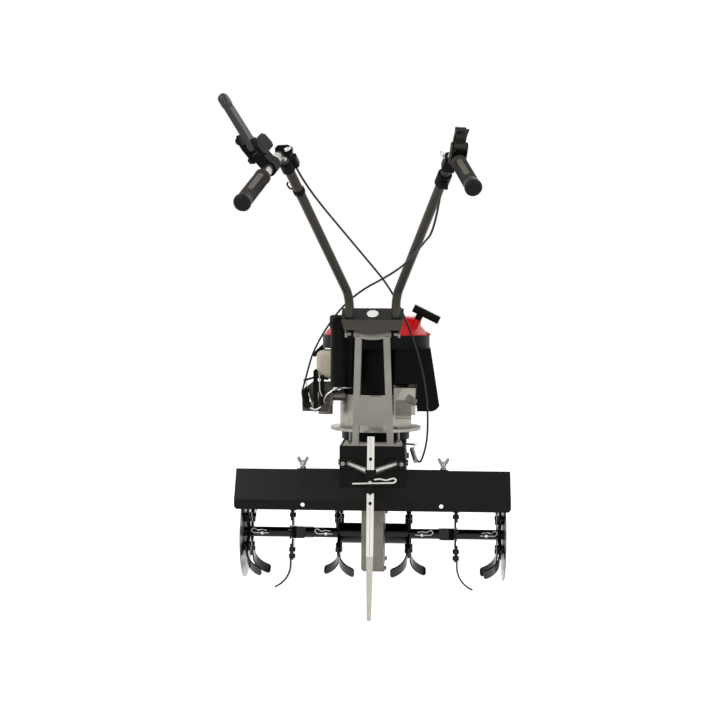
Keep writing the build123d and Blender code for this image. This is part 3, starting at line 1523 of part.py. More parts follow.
with BuildPart() as starter_rope:
    with BuildSketch(Plane(origin=rope_exit - rope_line * 16, z_dir=rope_line)):
        Circle(rope_radius)
    extrude(amount=16 + guide_reach + body_gap + 17)
save(starter_rope.part, "starter_rope")

# Upright air cleaner at the left rear, body and lid
with BuildPart() as air_cleaner:
    with BuildSketch(level(cleaner_foot, cleaner_x, cleaner_y)):
        Circle(cleaner_radius)
        Circle(cleaner_radius - 3, mode=Mode.SUBTRACT)
    extrude(amount=cleaner_lid_z - cleaner_foot)
    with BuildSketch(level(cleaner_foot, cleaner_x, cleaner_y)):
        Circle(cleaner_radius)
    extrude(amount=3)
    reach = Vector(cleaner_x, cleaner_y - crank_y, 0)
    bracket = Plane(origin=(0, crank_y, 600), x_dir=(0, 0, 1), z_dir=reach)
    with BuildSketch(bracket.offset(case_radius + 0.8)):
        Rectangle(14, 24)
    extrude(amount=reach.length - cleaner_radius - case_radius + 1)
save(air_cleaner.part, "air_cleaner")

with BuildPart() as air_cleaner_lid:
    with BuildSketch(level(cleaner_lid_z + slip_fit, cleaner_x, cleaner_y)):
        Circle(cleaner_radius + 3)
    extrude(amount=cleaner_top - cleaner_lid_z - slip_fit)
    fillet(air_cleaner_lid.edges().group_by(Axis.Z)[-1], radius=8)
save(air_cleaner_lid.part, "air_cleaner_lid")

# Fuel tank on the left below the drum, with a slanted filler and a turning cap
filler_line = unit(-0.7, 0, 0.714)
filler_place = Vector(tank_outer_x + 8, axle_y + 112, tank_top - 16)
tank_middle = Vector(tank_inner_x + tank_outer_x, tank_rear + tank_front, tank_bottom + tank_top) / 2
with BuildPart() as fuel_tank:
    with Locations(tank_middle):
        Box(tank_inner_x - tank_outer_x, tank_front - tank_rear, tank_top - tank_bottom)
    fillet(fuel_tank.edges(), radius=14)
    with BuildSketch(Plane(origin=filler_place - filler_line * 14, z_dir=filler_line)):
        Circle(16)
    extrude(amount=26)
    inner = 3.0
    with Locations(tank_middle):
        Box(
            tank_inner_x - tank_outer_x - 2 * inner,
            tank_front - tank_rear - 2 * inner - 20,
            tank_top - tank_bottom - 2 * inner - 20,
            mode=Mode.SUBTRACT,
        )
    with BuildSketch(Plane(origin=filler_place - filler_line * 14, z_dir=filler_line)):
        Circle(12)
    extrude(amount=27, mode=Mode.SUBTRACT)
save(fuel_tank.part, "fuel_tank")

with BuildPart() as fuel_cap:
    with BuildSketch(Plane(origin=filler_place + filler_line * (12 + body_gap), z_dir=filler_line)):
        Circle(20)
        with PolarLocations(20, 12):
            Circle(1.6)
    extrude(amount=10)
    with BuildSketch(Plane(origin=filler_place + filler_line * 6, z_dir=filler_line)):
        Circle(12 - body_gap)
    extrude(amount=8)
save(fuel_cap.part, "fuel_cap")

# Carburettor on the left, its control plate behind it
with BuildPart() as carburettor:
    with Locations((-131, carb_y, 515)):
        Box(38, 46, 50)
    with BuildSketch(level(466, -131, carb_y)):
        Circle(19)
    extrude(amount=26)
    with BuildSketch(Plane(origin=(-114, carb_y, 515), x_dir=(0, 1, 0), z_dir=(1, 0, 0))):
        Circle(14)
    extrude(amount=40)
    with BuildSketch(level(480, 0, crank_y)):
        Circle(case_radius + slip_fit)
    extrude(amount=80, mode=Mode.SUBTRACT)
save(carburettor.part, "carburettor")

with BuildPart() as control_plate:
    with BuildSketch(Plane(origin=(0, plate_y, 0), x_dir=(1, 0, 0), z_dir=(0, -1, 0))):
        with BuildLine():
            Polyline(*plate_outline, close=True)
        make_face()
        with Locations((-172, 505), (-132, 530), (-132, 490)):
            Circle(6, mode=Mode.SUBTRACT)
    extrude(amount=2)
    with BuildSketch(level(470, 0, crank_y)):
        Circle(case_radius + slip_fit)
    extrude(amount=100, mode=Mode.SUBTRACT)
    pin_start = (arm_pin[0], plate_y - 1, arm_pin[1])
    with BuildSketch(Plane(origin=pin_start, x_dir=(1, 0, 0), z_dir=(0, -1, 0))):
        Circle(3)
    extrude(amount=8)
save(control_plate.part, "control_plate")

with BuildPart() as throttle_arm:
    arm_place = (arm_pin[0], plate_y - 2 - body_gap, arm_pin[1])
    with BuildSketch(Plane(origin=arm_place, x_dir=(1, 0, 0), z_dir=(0, -1, 0))):
        with Locations((-4, -18)):
            SlotCenterToCenter(38, 11, rotation=78)
        Circle(3 + running_fit, mode=Mode.SUBTRACT)
    extrude(amount=3)
save(throttle_arm.part, "throttle_arm")

# Muffler at the front
with BuildPart() as muffler:
    with Locations((70, shroud_front + 18.5, 520)):
        Box(110, 34, 84)
    fillet(muffler.edges(), radius=8)
    with Locations((70, shroud_front + 18.5, 520)):
        Box(100, 26, 74, mode=Mode.SUBTRACT)
    exhaust_start = (exhaust_x, crank_y + fin_half + slip_fit, exhaust_z)
    with BuildSketch(Plane(origin=exhaust_start, x_dir=(1, 0, 0), z_dir=(0, 1, 0))):
        Circle(exhaust_radius)
    extrude(amount=shroud_front + 5 - exhaust_start[1])
save(muffler.part, "muffler")

# Tension spring: an unbroken coil of quarter-turn arcs from the cable's end to the tension arm
spring_rear = Vector(109, axle_y - 78, 356)
spring_front = Vector(arm_hook[0] - spring_radius, arm_hook[1] - 2, arm_z - 10)
spring_run = spring_front - spring_rear
spring_way = spring_run.normalized()
spring_side = spring_way.cross(Vector(0, 0, 1)).normalized()
spring_up = spring_side.cross(spring_way)


def coil_point(turn):
    """A place on the coil and its tangent, after a number of turns."""
    angle = 2 * pi * turn
    around = spring_side * cos(angle) + spring_up * sin(angle)
    place = spring_rear + spring_run * (turn / spring_turns) + around * spring_radius
    swing = (spring_up * cos(angle) - spring_side * sin(angle)) * (2 * pi * spring_radius)
    return place, (swing + spring_run * (1 / spring_turns)).normalized()


with BuildPart() as tension_spring:
    with BuildLine() as coil:
        for quarter in range(4 * spring_turns):
            start, start_way = coil_point(quarter / 4)
            end, end_way = coil_point((quarter + 1) / 4)
            chord = end - start
            both = start_way + end_way
            spread = 2 * (1 - start_way.dot(end_way))
            lean = chord.dot(both)
            reach = (sqrt(lean**2 + 2 * spread * chord.dot(chord)) - lean) / spread
            joint = (start + start_way * reach + end - end_way * reach) * 0.5
            TangentArc(start, joint, tangent=start_way)
            TangentArc(joint, end, tangent=joint - start - start_way * reach)
        Line(end, end + end_way * hook_length)
    with BuildSketch(Plane(origin=coil.line @ 0, z_dir=coil.line % 0)):
        Circle(spring_wire)
    sweep(path=coil.line)
save(tension_spring.part, "tension_spring")
coil_samples = [coil_point(step / 24)[0] for step in range(24 * spring_turns)]
coil_gap = min(
    (coil_samples[first] - coil_samples[second]).length
    for first in range(len(coil_samples))
    for second in range(first + 12, min(first + 37, len(coil_samples)))
)
print("spring gap to itself", round(coil_gap - 2 * spring_wire, 2))

# Control cables, one along each route
cable_seat = anchor_plane.from_local_coords(Vector(12, 15, -12 - body_gap))
clutch_route = (
    tuple(cable_seat),
    (-144, axle_y - 458, 1017),
    (62, axle_y - 160, 772),
    (130, axle_y - 102, 580),
    (141, axle_y - 116, 430),
    (121, axle_y - 124, 352),
    tuple(coil_point(0)[0] - Vector(0, spring_wire + body_gap, 0)),
)
throttle_route = (
    tuple(prong_end + prong_line * 3 * body_gap),
    (147, axle_y - 528, 912),
    (72, axle_y - 290, 836),
    (-62, axle_y - 152, 772),
    (-150, axle_y - 95, 650),
    (-190, axle_y - 62, 510),
    (-160, axle_y - 26, 480),
)
for name, route, bends in (
    ("clutch_cable", clutch_route, clutch_bends),
    ("throttle_cable", throttle_route, throttle_bends),
):
    cable = round_bar(route, bends, cable_radius)
    print(name, "points", [tuple(round(value, 2) for value in point) for point in route])
    print(name, "arc radii", bends, "volume", round(cable.volume))
    save(cable, name)


def hex_bolt(place, grip_length, radius, tail=3.0):
    """A hexagon bolt with its nut: the plane is under the head and looks along the shank."""
    with BuildPart() as bolt:
        with BuildSketch(place.offset(-1.3 * radius)):
            RegularPolygon(1.65 * radius, 6, major_radius=False)
        extrude(amount=1.3 * radius)
        with BuildSketch(place.offset(grip_length)):
            RegularPolygon(1.65 * radius, 6, major_radius=False)
        extrude(amount=1.6 * radius)
        with BuildSketch(place.offset(-1)):
            Circle(radius)
        extrude(amount=grip_length + 1.6 * radius + tail + 1)
    return bolt.part


def facing(x, y, z, way):
    """A plane at a place that looks along one direction."""
    return Plane(origin=(x, y, z), z_dir=way)


# Fasteners of the fixed frame, all of one kind
with BuildPart() as frame_bolts:
    for side in (1, -1):
        pivot = Plane(origin=(side * 20, pivot_y, pivot_z), x_dir=(0, 1, 0), z_dir=(side, 0, 0))
        with BuildSketch(pivot):
            Circle(pivot_bolt_radius)
        extrude(amount=yoke_foot_half + body_gap - 20)
        with BuildSketch(pivot.offset(yoke_foot_half + body_gap - 20)):
            RegularPolygon(9.5, 6, major_radius=False)
        extrude(amount=6)
        hood_under = 2 * (hood_sheet + slip_fit)
        seam_bolt = seam_plane(side).offset(-hood_under)
        add(hex_bolt(seam_bolt, hood_under + slip_fit, frame_bolt_radius, 15))
        for shift in (hood_bolt_span, -hood_bolt_span):
            outside = side * (chassis_half + 2 * slip_fit + hood_sheet)
            wall_bolt = facing(outside, axle_y + shift, hood_bolt_z, (-side, 0, 0))
            add(hex_bolt(wall_bolt, 5.4, frame_bolt_radius, 1))
        for shift in (-floor_bolt_rear, floor_bolt_front):
            under = facing(side * floor_bolt_x, axle_y + shift, gearbox_top - 10, (0, 0, 1))
            add(hex_bolt(under, 10 + body_gap + deck_sheet, frame_bolt_radius, 1))
        for shift in (column_bolt_y, -column_bolt_y):
            above = facing(side * column_bolt_x, column_foot_y + shift, deck_z + 4, (0, 0, -1))
            add(hex_bolt(above, 4 + deck_sheet, frame_bolt_radius, 1))
        behind = facing(side * (arm_end_x + 15), chassis_rear - 6, arm_end_z, (0, 1, 0))
        add(hex_bolt(behind, 6 + deck_sheet, small_bolt_radius, 1))
        for shift in (engine_bolt_y, -engine_bolt_y):
            head = facing(side * engine_bolt_x, crank_y + shift, flange_z + flange_thickness, (0, 0, -1))
            add(hex_bolt(head, flange_z + flange_thickness - deck_z + deck_sheet, frame_bolt_radius, 1))
    for ear in range(3):
        swing = radians(120 * ear)
        head = facing(ear_ring * cos(swing), crank_y + ear_ring * sin(swing), ear_top, (0, 0, -1))
        add(hex_bolt(head, ear_top - drum_top + drum_sheet, small_bolt_radius, 1))
    for y, z in lug_places:
        lug_bolt = facing(-gearbox_half, axle_y + y, axle_z + z, (1, 0, 0))
        add(hex_bolt(lug_bolt, 2 * gearbox_half, small_bolt_radius, 1))
save(frame_bolts.part, "frame_bolts")
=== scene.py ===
"""Finishes, cables and fine fittings of a walk-behind garden tiller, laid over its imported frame.

Places, and the sizes of cables, rope and spring, are in metres, with X to the right, Y ahead and Z up.
The shapes of the grips and the small fittings are in millimetres.
"""

import json
import logging
import math
from dataclasses import dataclass
from enum import Enum
from typing import Any, Iterable, Sequence

import bmesh
import bpy
from mathutils import Matrix, Vector

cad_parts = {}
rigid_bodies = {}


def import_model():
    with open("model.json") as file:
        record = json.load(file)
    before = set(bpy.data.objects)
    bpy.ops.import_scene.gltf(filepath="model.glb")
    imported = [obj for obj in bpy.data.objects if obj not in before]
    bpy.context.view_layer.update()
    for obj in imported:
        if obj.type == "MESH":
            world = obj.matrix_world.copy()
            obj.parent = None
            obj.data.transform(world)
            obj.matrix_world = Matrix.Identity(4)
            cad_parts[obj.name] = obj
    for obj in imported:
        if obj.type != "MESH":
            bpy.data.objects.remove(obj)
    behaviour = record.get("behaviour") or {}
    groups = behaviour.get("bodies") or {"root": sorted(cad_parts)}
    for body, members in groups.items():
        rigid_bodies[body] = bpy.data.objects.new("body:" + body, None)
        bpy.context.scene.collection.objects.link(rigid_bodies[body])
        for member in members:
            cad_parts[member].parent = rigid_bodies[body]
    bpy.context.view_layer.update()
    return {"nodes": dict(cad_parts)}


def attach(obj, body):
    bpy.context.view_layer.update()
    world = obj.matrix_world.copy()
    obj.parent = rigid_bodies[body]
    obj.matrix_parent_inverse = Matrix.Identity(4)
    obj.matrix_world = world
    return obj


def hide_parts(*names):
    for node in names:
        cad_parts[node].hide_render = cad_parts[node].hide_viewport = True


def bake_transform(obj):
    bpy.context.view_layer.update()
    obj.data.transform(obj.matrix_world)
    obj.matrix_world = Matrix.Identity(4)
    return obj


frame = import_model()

LOG = logging.getLogger("tiller")
MM = 0.001
RIGHT = Vector((1, 0, 0))
AHEAD = Vector((0, 1, 0))
BACK = Vector((0, -1, 0))
UP = Vector((0, 0, 1))
# Top of the right handle's bend and the tube's line down from it, which the left handle mirrors
BEND_TOP = Vector((0.185, -0.264369, 1.074))
TUBE_LINE = Vector((-0.2609, 0.7438, -0.6154))
MIRROR = Vector((-1, 1, 1))
# Where most values of a noise lie
NOISE_CORE = (0.3, 0.7)
# Where the cosine between rounded and plain normals turns from a face to an edge
EDGE_TURN = (0.99, 0.82)
# Where the noise of the rubbed patches fades in
PATCH_CORE = (0.42, 0.62)

Flat = tuple[float, float]
Point = tuple[float, float, float]
Place = Point | Vector
Outline = tuple[Flat, ...]
Tree = bpy.types.NodeTree
Socket = bpy.types.NodeSocket
Mesh = bpy.types.Mesh
Piece = bpy.types.Object


class Body(Enum):
    """The moving bodies that dressed pieces ride on."""

    MACHINE = "machine"
    HANDLEBAR = "handlebar"
    TENSIONER = "tensioner"
    STARTER = "starter"
    THUMB_LEVER = "thumb_lever"


def linear(colour: str) -> tuple[float, ...]:
    """Turns an sRGB hex colour into linear light.

    Args:
        colour: Six hex digits after a hash.

    Returns:
        Red, green, blue and a full alpha.
    """
    shares = [int(colour[place : place + 2], 16) / 255 for place in (1, 3, 5)]
    lit = [share / 12.92 if share <= 0.04045 else ((share + 0.055) / 1.055) ** 2.4 for share in shares]
    return *lit, 1.0


def add_node(tree: Tree, kind: str, inputs: dict | None = None, **settings: Any) -> bpy.types.Node:
    """Adds one node with its settings, plain input values and links.

    Args:
        tree: The shader or geometry tree.
        kind: Blender's name of the node's type.
        inputs: Input name or place, and either a value or a socket to link from.
        settings: Properties of the node itself.

    Returns:
        The new node.
    """
    node = tree.nodes.new(kind)
    for name, value in settings.items():
        setattr(node, name, value)
    for place, value in (inputs or {}).items():
        if isinstance(value, Socket):
            tree.links.new(value, node.inputs[place])
        else:
            node.inputs[place].default_value = value
    return node


def spot(tree: Tree) -> Socket:
    """Returns the point on the piece, in the piece's own frame."""
    return add_node(tree, "ShaderNodeTexCoord").outputs["Object"]


def noise(tree: Tree, size: float, detail: float, rough: float = 0.5, place: Socket | None = None) -> Socket:
    """Returns noise over the piece, or over a given place, with clouds of about a size in millimetres."""
    kind = {"Scale": 1 / (size * MM), "Detail": detail, "Roughness": rough}
    return add_node(tree, "ShaderNodeTexNoise", kind | {"Vector": place or spot(tree)}).outputs["Fac"]


def ranged(tree: Tree, value: Socket, low: float, high: float, span: Flat = (0.0, 1.0)) -> Socket:
    """Returns a value mapped from its own span onto a low and a high end, held at both."""
    inputs = {"Value": value, "From Min": span[0], "From Max": span[1], "To Min": low, "To Max": high}
    return add_node(tree, "ShaderNodeMapRange", inputs).outputs["Result"]


def reckoned(tree: Tree, operation: str, *values: Socket | float) -> Socket:
    """Returns what one sum makes of its values."""
    return add_node(tree, "ShaderNodeMath", dict(enumerate(values)), operation=operation).outputs["Value"]


def vectored(tree: Tree, operation: str, *values: Any) -> bpy.types.NodeOutputs:
    """Returns what one sum makes of its vectors."""
    return add_node(tree, "ShaderNodeVectorMath", dict(enumerate(values)), operation=operation).outputs


def mixed(tree: Tree, share: Socket, first: Any, second: Any) -> Socket:
    """Returns the first colour with a share of the second."""
    return add_node(tree, "ShaderNodeMix", {0: share, 6: first, 7: second}, data_type="RGBA").outputs[2]


def shaded(tree: Tree, colour: str, amount: Socket) -> Socket:
    """Returns a hex colour made lighter or darker by an amount."""
    inputs = {"Color": linear(colour), "Value": amount}
    return add_node(tree, "ShaderNodeHueSaturation", inputs).outputs["Color"]


@dataclass(frozen=True)
class Finish:
    """What every finish shares: a name, a colour, its gloss, and the drifts, grain and wear on them."""

    name: str
    colour: str
    roughness: float
    metallic: float = 0.0
    specular: float = 0.5
    edge_mm: float = 0.8
    tone_mm: float = 60.0
    tone: float = 0.12
    smear_mm: float = 28.0
    smear: Flat = (0.85, 1.2)
    grain_mm: float = 4.0
    grain_depth_mm: float = 0.03
    grain_strength: float = 0.5
    wear: float = 0.0
    wear_mm: float = 9.0
    wear_colour: str = "#8d8a84"

    def material(self) -> bpy.types.Material:
        """Builds the finish's material on its first use.

        Returns:
            The material.
        """
        made = bpy.data.materials.get(self.name)
        if made is None:
            made = bpy.data.materials.new(self.name)
            made.use_nodes = True
            self.lay(made.node_tree, made.node_tree.nodes["Principled BSDF"].inputs)
        return made

    def lay(self, tree: Tree, sockets: bpy.types.NodeInputs) -> None:
        """Lays tone, rounded edges, gloss and grain into the shader.

        Args:
            tree: The material's node tree.
            sockets: Inputs of its surface shader.
        """
        sockets["Metallic"].default_value = self.metallic
        sockets["Specular IOR Level"].default_value = self.specular
        edge = add_node(tree, "ShaderNodeBevel", {"Radius": self.edge_mm * MM}, samples=4).outputs["Normal"]
        tree.links.new(self.worn(tree, self.tinted(tree), edge), sockets["Base Color"])
        tree.links.new(self.gloss(tree), sockets["Roughness"])
        grain = {"Height": self.relief(tree), "Distance": self.grain_depth_mm * MM, "Normal": edge}
        bump = add_node(tree, "ShaderNodeBump", grain | {"Strength": self.grain_strength})
        tree.links.new(bump.outputs["Normal"], sockets["Normal"])

    def tinted(self, tree: Tree) -> Socket:
        """Returns the base colour with slow light and dark drifts over the surface."""
        drift = noise(tree, self.tone_mm, 4.0)
        return shaded(tree, self.colour, ranged(tree, drift, 1 - self.tone, 1 + self.tone, NOISE_CORE))

    def worn(self, tree: Tree, colour: Socket, edge: Socket) -> Socket:
        """Rubs the colour through in patches along the outer edges.

        Args:
            tree: The material's node tree.
            colour: The colour so far.
            edge: The normal with rounded edges.

        Returns:
            The colour with its wear.
        """
        if not self.wear:
            return colour
        plain = add_node(tree, "ShaderNodeNewGeometry").outputs["Normal"]
        near = ranged(tree, vectored(tree, "DOT_PRODUCT", edge, plain)["Value"], 0.0, self.wear, EDGE_TURN)
        broken = ranged(tree, noise(tree, self.wear_mm, 5.0), 0.0, 1.0, PATCH_CORE)
        return mixed(tree, reckoned(tree, "MULTIPLY", near, broken), colour, linear(self.wear_colour))

    def gloss(self, tree: Tree) -> Socket:
        """Returns the roughness with soft smears of handling."""
        low, high = (min(1.0, share * self.roughness) for share in self.smear)
        return ranged(tree, noise(tree, self.smear_mm, 6.0), low, high, NOISE_CORE)

    def relief(self, tree: Tree) -> Socket:
        """Returns the height of the fine surface grain."""
        return noise(tree, self.grain_mm, 3.0)


@dataclass(frozen=True)
class StainedMetal(Finish):
    """A metal under cloudy stains: oil on a casting's sandy skin, or the brown tints of heat on sheet."""

    metallic: float = 1.0
    stain: str = "#5c5853"
    stain_core: Flat = (0.5, 0.75)
    stain_share: float = 0.8
    stain_detail: float = 7.0
    stain_rough: float = 0.65

    def tinted(self, tree: Tree) -> Socket:
        """Lays the stains over the metal's colour.

        Args:
            tree: The material's node tree.

        Returns:
            The stained colour.
        """
        clouds = noise(tree, self.tone_mm, self.stain_detail, self.stain_rough)
        share = ranged(tree, clouds, 0.0, self.stain_share, self.stain_core)
        return mixed(tree, share, linear(self.colour), linear(self.stain))


@dataclass(frozen=True)
class PlatedSteel(Finish):
    """Zinc-plated or bare steel: bright, with fine drawn lines and faint cloudy cells."""

    metallic: float = 1.0
    cell_mm: float = 7.0
    stretch: Point = (1.0, 1.0, 0.08)

    def tinted(self, tree: Tree) -> Socket:
        """Tints the plating's colour cell by cell.

        Args:
            tree: The material's node tree.

        Returns:
            The tinted colour.
        """
        grid = {"Vector": spot(tree), "Scale": 1 / (self.cell_mm * MM)}
        cells = add_node(tree, "ShaderNodeTexVoronoi", grid).outputs["Color"]
        tint = add_node(tree, "ShaderNodeSeparateColor", {"Color": cells}).outputs["Red"]
        return shaded(tree, self.colour, ranged(tree, tint, 1 - self.tone, 1.0))

    def relief(self, tree: Tree) -> Socket:
        """Returns fine lines drawn along the piece."""
        turned = add_node(tree, "ShaderNodeMapping", {"Vector": spot(tree), "Scale": self.stretch})
        return noise(tree, self.grain_mm, 2.0, place=turned.outputs["Vector"])


@dataclass(frozen=True)
class ZonedFinish(Finish):
    """A piece in two finishes: its own, and another one inside boxes of its surface."""

    within: Finish | None = None
    zones: tuple[tuple[Point, Point], ...] = ()

    def lay(self, tree: Tree, sockets: bpy.types.NodeInputs) -> None:
        """Lays the outer finish, then the inner one over it inside the boxes.

        Args:
            tree: The material's node tree.
            sockets: Inputs of its surface shader.
        """
        super().lay(tree, sockets)
        inner = self.within
        share = self.inside(tree)
        outer = sockets["Base Color"].links[0].from_socket
        tree.links.new(mixed(tree, share, outer, inner.tinted(tree)), sockets["Base Color"])
        for name, low, high in (
            ("Metallic", self.metallic, inner.metallic),
            ("Roughness", self.roughness, inner.roughness),
            ("Specular IOR Level", self.specular, inner.specular),
        ):
            tree.links.new(ranged(tree, share, low, high), sockets[name])

    def inside(self, tree: Tree) -> Socket | float:
        """Tells the boxes from the rest of the piece.

        Args:
            tree: The material's node tree.

        Returns:
            1 inside any of the boxes and 0 outside them all.
        """
        total: Socket | float = 0.0
        for low, high in self.zones:
            middle = [(a + b) / 2 * MM for a, b in zip(low, high)]
            half = [(b - a) / 2 * MM for a, b in zip(low, high)]
            off = vectored(tree, "SUBTRACT", spot(tree), middle)["Vector"]
            room = vectored(tree, "SUBTRACT", half, vectored(tree, "ABSOLUTE", off)["Vector"])["Vector"]
            sides = add_node(tree, "ShaderNodeSeparateXYZ", {"Vector": room}).outputs
            least = reckoned(tree, "MINIMUM", reckoned(tree, "MINIMUM", sides["X"], sides["Y"]), sides["Z"])
            total = reckoned(tree, "MAXIMUM", total, reckoned(tree, "GREATER_THAN", least, 0.0))
        return total


@dataclass(frozen=True)
class BraidedFibre(Finish):
    """Braided polyester: pale strands crossing in a diamond lay with dark gaps."""

    strands: float = 4.0
    lay_mm: float = 3.0
    run_mm: float = 46.0

    def relief(self, tree: Tree) -> Socket:
        """Crosses two sets of strands on the rope's own map.

        Args:
            tree: The material's node tree.

        Returns:
            The height of the strands.
        """
        mapped = add_node(tree, "ShaderNodeUVMap").outputs["UV"]
        parts = add_node(tree, "ShaderNodeSeparateXYZ", {"Vector": mapped}).outputs
        run = reckoned(tree, "MULTIPLY", parts["X"], 2 * math.pi * self.run_mm / self.lay_mm)
        spin = 2 * math.pi * self.strands
        turns = [reckoned(tree, "MULTIPLY_ADD", parts["Y"], way * spin, run) for way in (1, -1)]
        return reckoned(tree, "MULTIPLY", *(reckoned(tree, "SINE", turn) for turn in turns))


# Black enamel on pressed sheet: near-black, with soft wide highlights and rubbed edges
BLACK_ENAMEL = Finish("black_enamel_sheet", "#13100d", 0.3, specular=0.12, wear=0.35, grain_mm=6.0)
# The chassis carries the same enamel, baked a little flatter
FLAT_BLACK = Finish("flat_black_enamel", "#0d0c0a", 0.42, specular=0.1, wear=0.3, grain_mm=5.0)
# Grey stoved paint on the column: pale and dull, with painted shadow in flat black at both ends of its head
# tube
COLUMN_PAINT_AND_SHADOW = ZonedFinish(
    "grey_stoved_paint_with_painted_shadow", "#98958d", 0.48, specular=0.3, wear=0.3, wear_colour="#d9d6cf", grain_mm=5.0,
    # The two boxes at the head tube's ends hold the painted shadow in flat black
    within=FLAT_BLACK, zones=(((46, 0, 640), (140, 300, 720)), ((-140, 0, 640), (-46, 300, 720))),
)
# Zinc plate on clips, arms and the bar's bolt: nearly white, cloudy, softly bright
ZINC_PLATE = PlatedSteel("bright_zinc_plate", "#d0cfca", 0.3)
# Zinc plate on the small fasteners: the same, dulled by weather
DULL_ZINC = PlatedSteel("dulled_zinc_plate", "#8f8c86", 0.38, tone=0.25)
# Control plate: phosphated steel, dark grey and cloudy
PHOSPHATE_STEEL = PlatedSteel("phosphated_steel", "#4b4844", 0.45, tone=0.35)
# Depth bar: plated angle, greyer along its ridge and on its soil-rubbed foot
RUBBED_PLATE = PlatedSteel("soil_rubbed_plate", "#bab7ad", 0.38, tone=0.1)
BAR_PLATE = ZonedFinish(
    "plated_bar_with_ridge", "#dedcd6", 0.3, metallic=1.0, tone=0.06, within=RUBBED_PLATE,
    zones=(((-0.9, -100, -10), (0.9, 100, 500)), ((-40, -100, -10), (40, 100, 150))),
)
# End discs: plate that mirrors the pale floor and greys where it is seen flat on
DISC_PLATE = PlatedSteel("disc_zinc_plate", "#8a8884", 0.26, tone=0.05, grain_mm=5.0, grain_depth_mm=0.003)
# Brown-grey powder coat on the handle tubes, off the plated ends above the top bend
HANDLE_COAT = ZonedFinish(
    "handle_powder_coat", "#3c362f", 0.36, specular=0.2, within=ZINC_PLATE,
    zones=(((-400, -700, 900), (400, -262, 1200)),),
)
# Yoke: black enamel all over, with a painted reflection in brown-grey on its lower face, where the gloss
# mirrors the pale surroundings
YOKE_PAINTED_REFLECTION = Finish("brown_grey_painted_reflection", "#423e39", 0.4, specular=0.2)
YOKE_BLACK_AND_REFLECTION = ZonedFinish(
    "yoke_black_with_painted_reflection", "#0f0d0b", 0.35, specular=0.12, grain_mm=5.0, within=YOKE_PAINTED_REFLECTION,
    # This box below the yoke's brow holds the painted brown-grey reflection
    zones=(((-200, -100, 600), (200, 99, 715.8)),),
)
# Nitrile rubber of the grips: dull, with a pale bloom in patches
GRIP_RUBBER = Finish("grip_nitrile_rubber", "#2f2c29", 0.6, specular=0.2, tone=0.3, tone_mm=18)
# End caps and flat panels of the grips: harder compounds, one darker and one paler
CAP_RUBBER = Finish("grip_end_rubber", "#171513", 0.5, specular=0.12, tone=0.2, tone_mm=15)
PANEL_RUBBER = Finish("grip_panel_rubber", "#59534b", 0.45, specular=0.3, tone=0.2, tone_mm=9)
# Belt: rubberised fabric, dusty at its flanks
BELT_RUBBER = Finish("belt_rubberised_fabric", "#1c1a18", 0.8, specular=0.1, tone=0.35, tone_mm=12)
# Moulded nylon for knobs, levers and covers: black and dull, with a fine grain
BLACK_NYLON = Finish("black_moulded_nylon", "#0a0908", 0.46, specular=0.07)
# Thumb lever: the same nylon, bleached a little
FADED_NYLON = Finish("faded_moulded_nylon", "#26241f", 0.4, specular=0.2)
# Die-cast lever: thin satin paint, rubbed through at its edges
LEVER_PAINT = Finish("satin_paint_on_casting", "#2b2726", 0.34, specular=0.35, wear=0.3, grain_mm=5.0)
# Engine sheet metal in stove black: almost no colour of its own
ENGINE_BLACK = Finish("stove_black_sheet", "#080807", 0.4, specular=0.07, wear=0.2, grain_mm=5.0)
# Starter cover in red enamel: clean and bright, with a soft gloss
STARTER_RED = Finish("red_enamel_pressing", "#c4141a", 0.4, specular=0.2, tone=0.06, grain_mm=6.0)
# Fuel tank in natural polyethylene: waxy pale beige
TANK_POLYMER = Finish("natural_polyethylene", "#c2b9a4", 0.5, specular=0.3, tone=0.1, grain_mm=5.0)
# Castings of the engine: a dull grey metal with a sandy skin
CAST_ALLOY = StainedMetal("cast_aluminium", "#a8a49b", 0.42, tone_mm=35, grain_depth_mm=0.06)
# Gearbox, carburettor and fins: the same under oil and dust
STAINED_ALLOY = StainedMetal("stained_cast_aluminium", "#7d7870", 0.5, tone_mm=30, grain_depth_mm=0.06)
# Engine casting: bare below the blower, stove black above it and under its flange
ENGINE_ALLOY = ZonedFinish(
    "engine_casting", "#080807", 0.4, specular=0.07, grain_mm=5.0, within=CAST_ALLOY,
    zones=(((-400, 0, 423), (400, 800, 519)), ((49, 200, 423), (107, 300, 545))),
)
# Fan wheel: cleaner casting of the same metal
FAN_ALLOY = StainedMetal("clean_cast_aluminium", "#c3c0ba", 0.4, stain_share=0.2)
# Pulleys: turned grey iron with fine rings
PULLEY_IRON = PlatedSteel("turned_grey_iron", "#6a6763", 0.42, tone=0.2, grain_mm=3.0)
# Depth bar's holder: plated arms on a black sleeve and black foot plates
HOLDER_PLATE = ZonedFinish(
    "plated_arms_black_sleeve", "#d0cfca", 0.3, metallic=1.0, within=FLAT_BLACK,
    zones=(((-11.2, -200, 200), (11.2, 400, 500)), ((-400, 129.4, 200), (400, 400, 500))),
)
# Ground shafts and gears: clean steel, a little darker than plating
GROUND_STEEL = PlatedSteel("ground_steel", "#a9a7a3", 0.28, tone=0.1, grain_mm=3.0)
# Rotor: black dip paint, wet-looking and thin on its edges
ROTOR_PAINT = Finish(
    "black_dip_paint", "#0d0b0a", 0.2, specular=0.3, wear=0.4, grain_mm=7.0, grain_depth_mm=0.05
)
# Muffler sheet: aluminised steel with brown heat tints
MUFFLER_SHEET = StainedMetal(
    "heat_tinted_steel", "#8a8176", 0.5, tone_mm=45, grain_mm=1.2, stain="#6a4a30", stain_core=(0.35, 0.72),
    stain_share=1.0, stain_detail=8.0, stain_rough=0.5,
)
# Spark plug insulator: glazed alumina, white and wet-looking
PLUG_GLAZE = Finish("glazed_alumina", "#ece8df", 0.15, tone=0.04)
# Cable sheath: extruded PVC, smooth with a long soft highlight
CABLE_SHEATH = Finish("extruded_pvc_sheath", "#181715", 0.34, specular=0.25, tone=0.15)
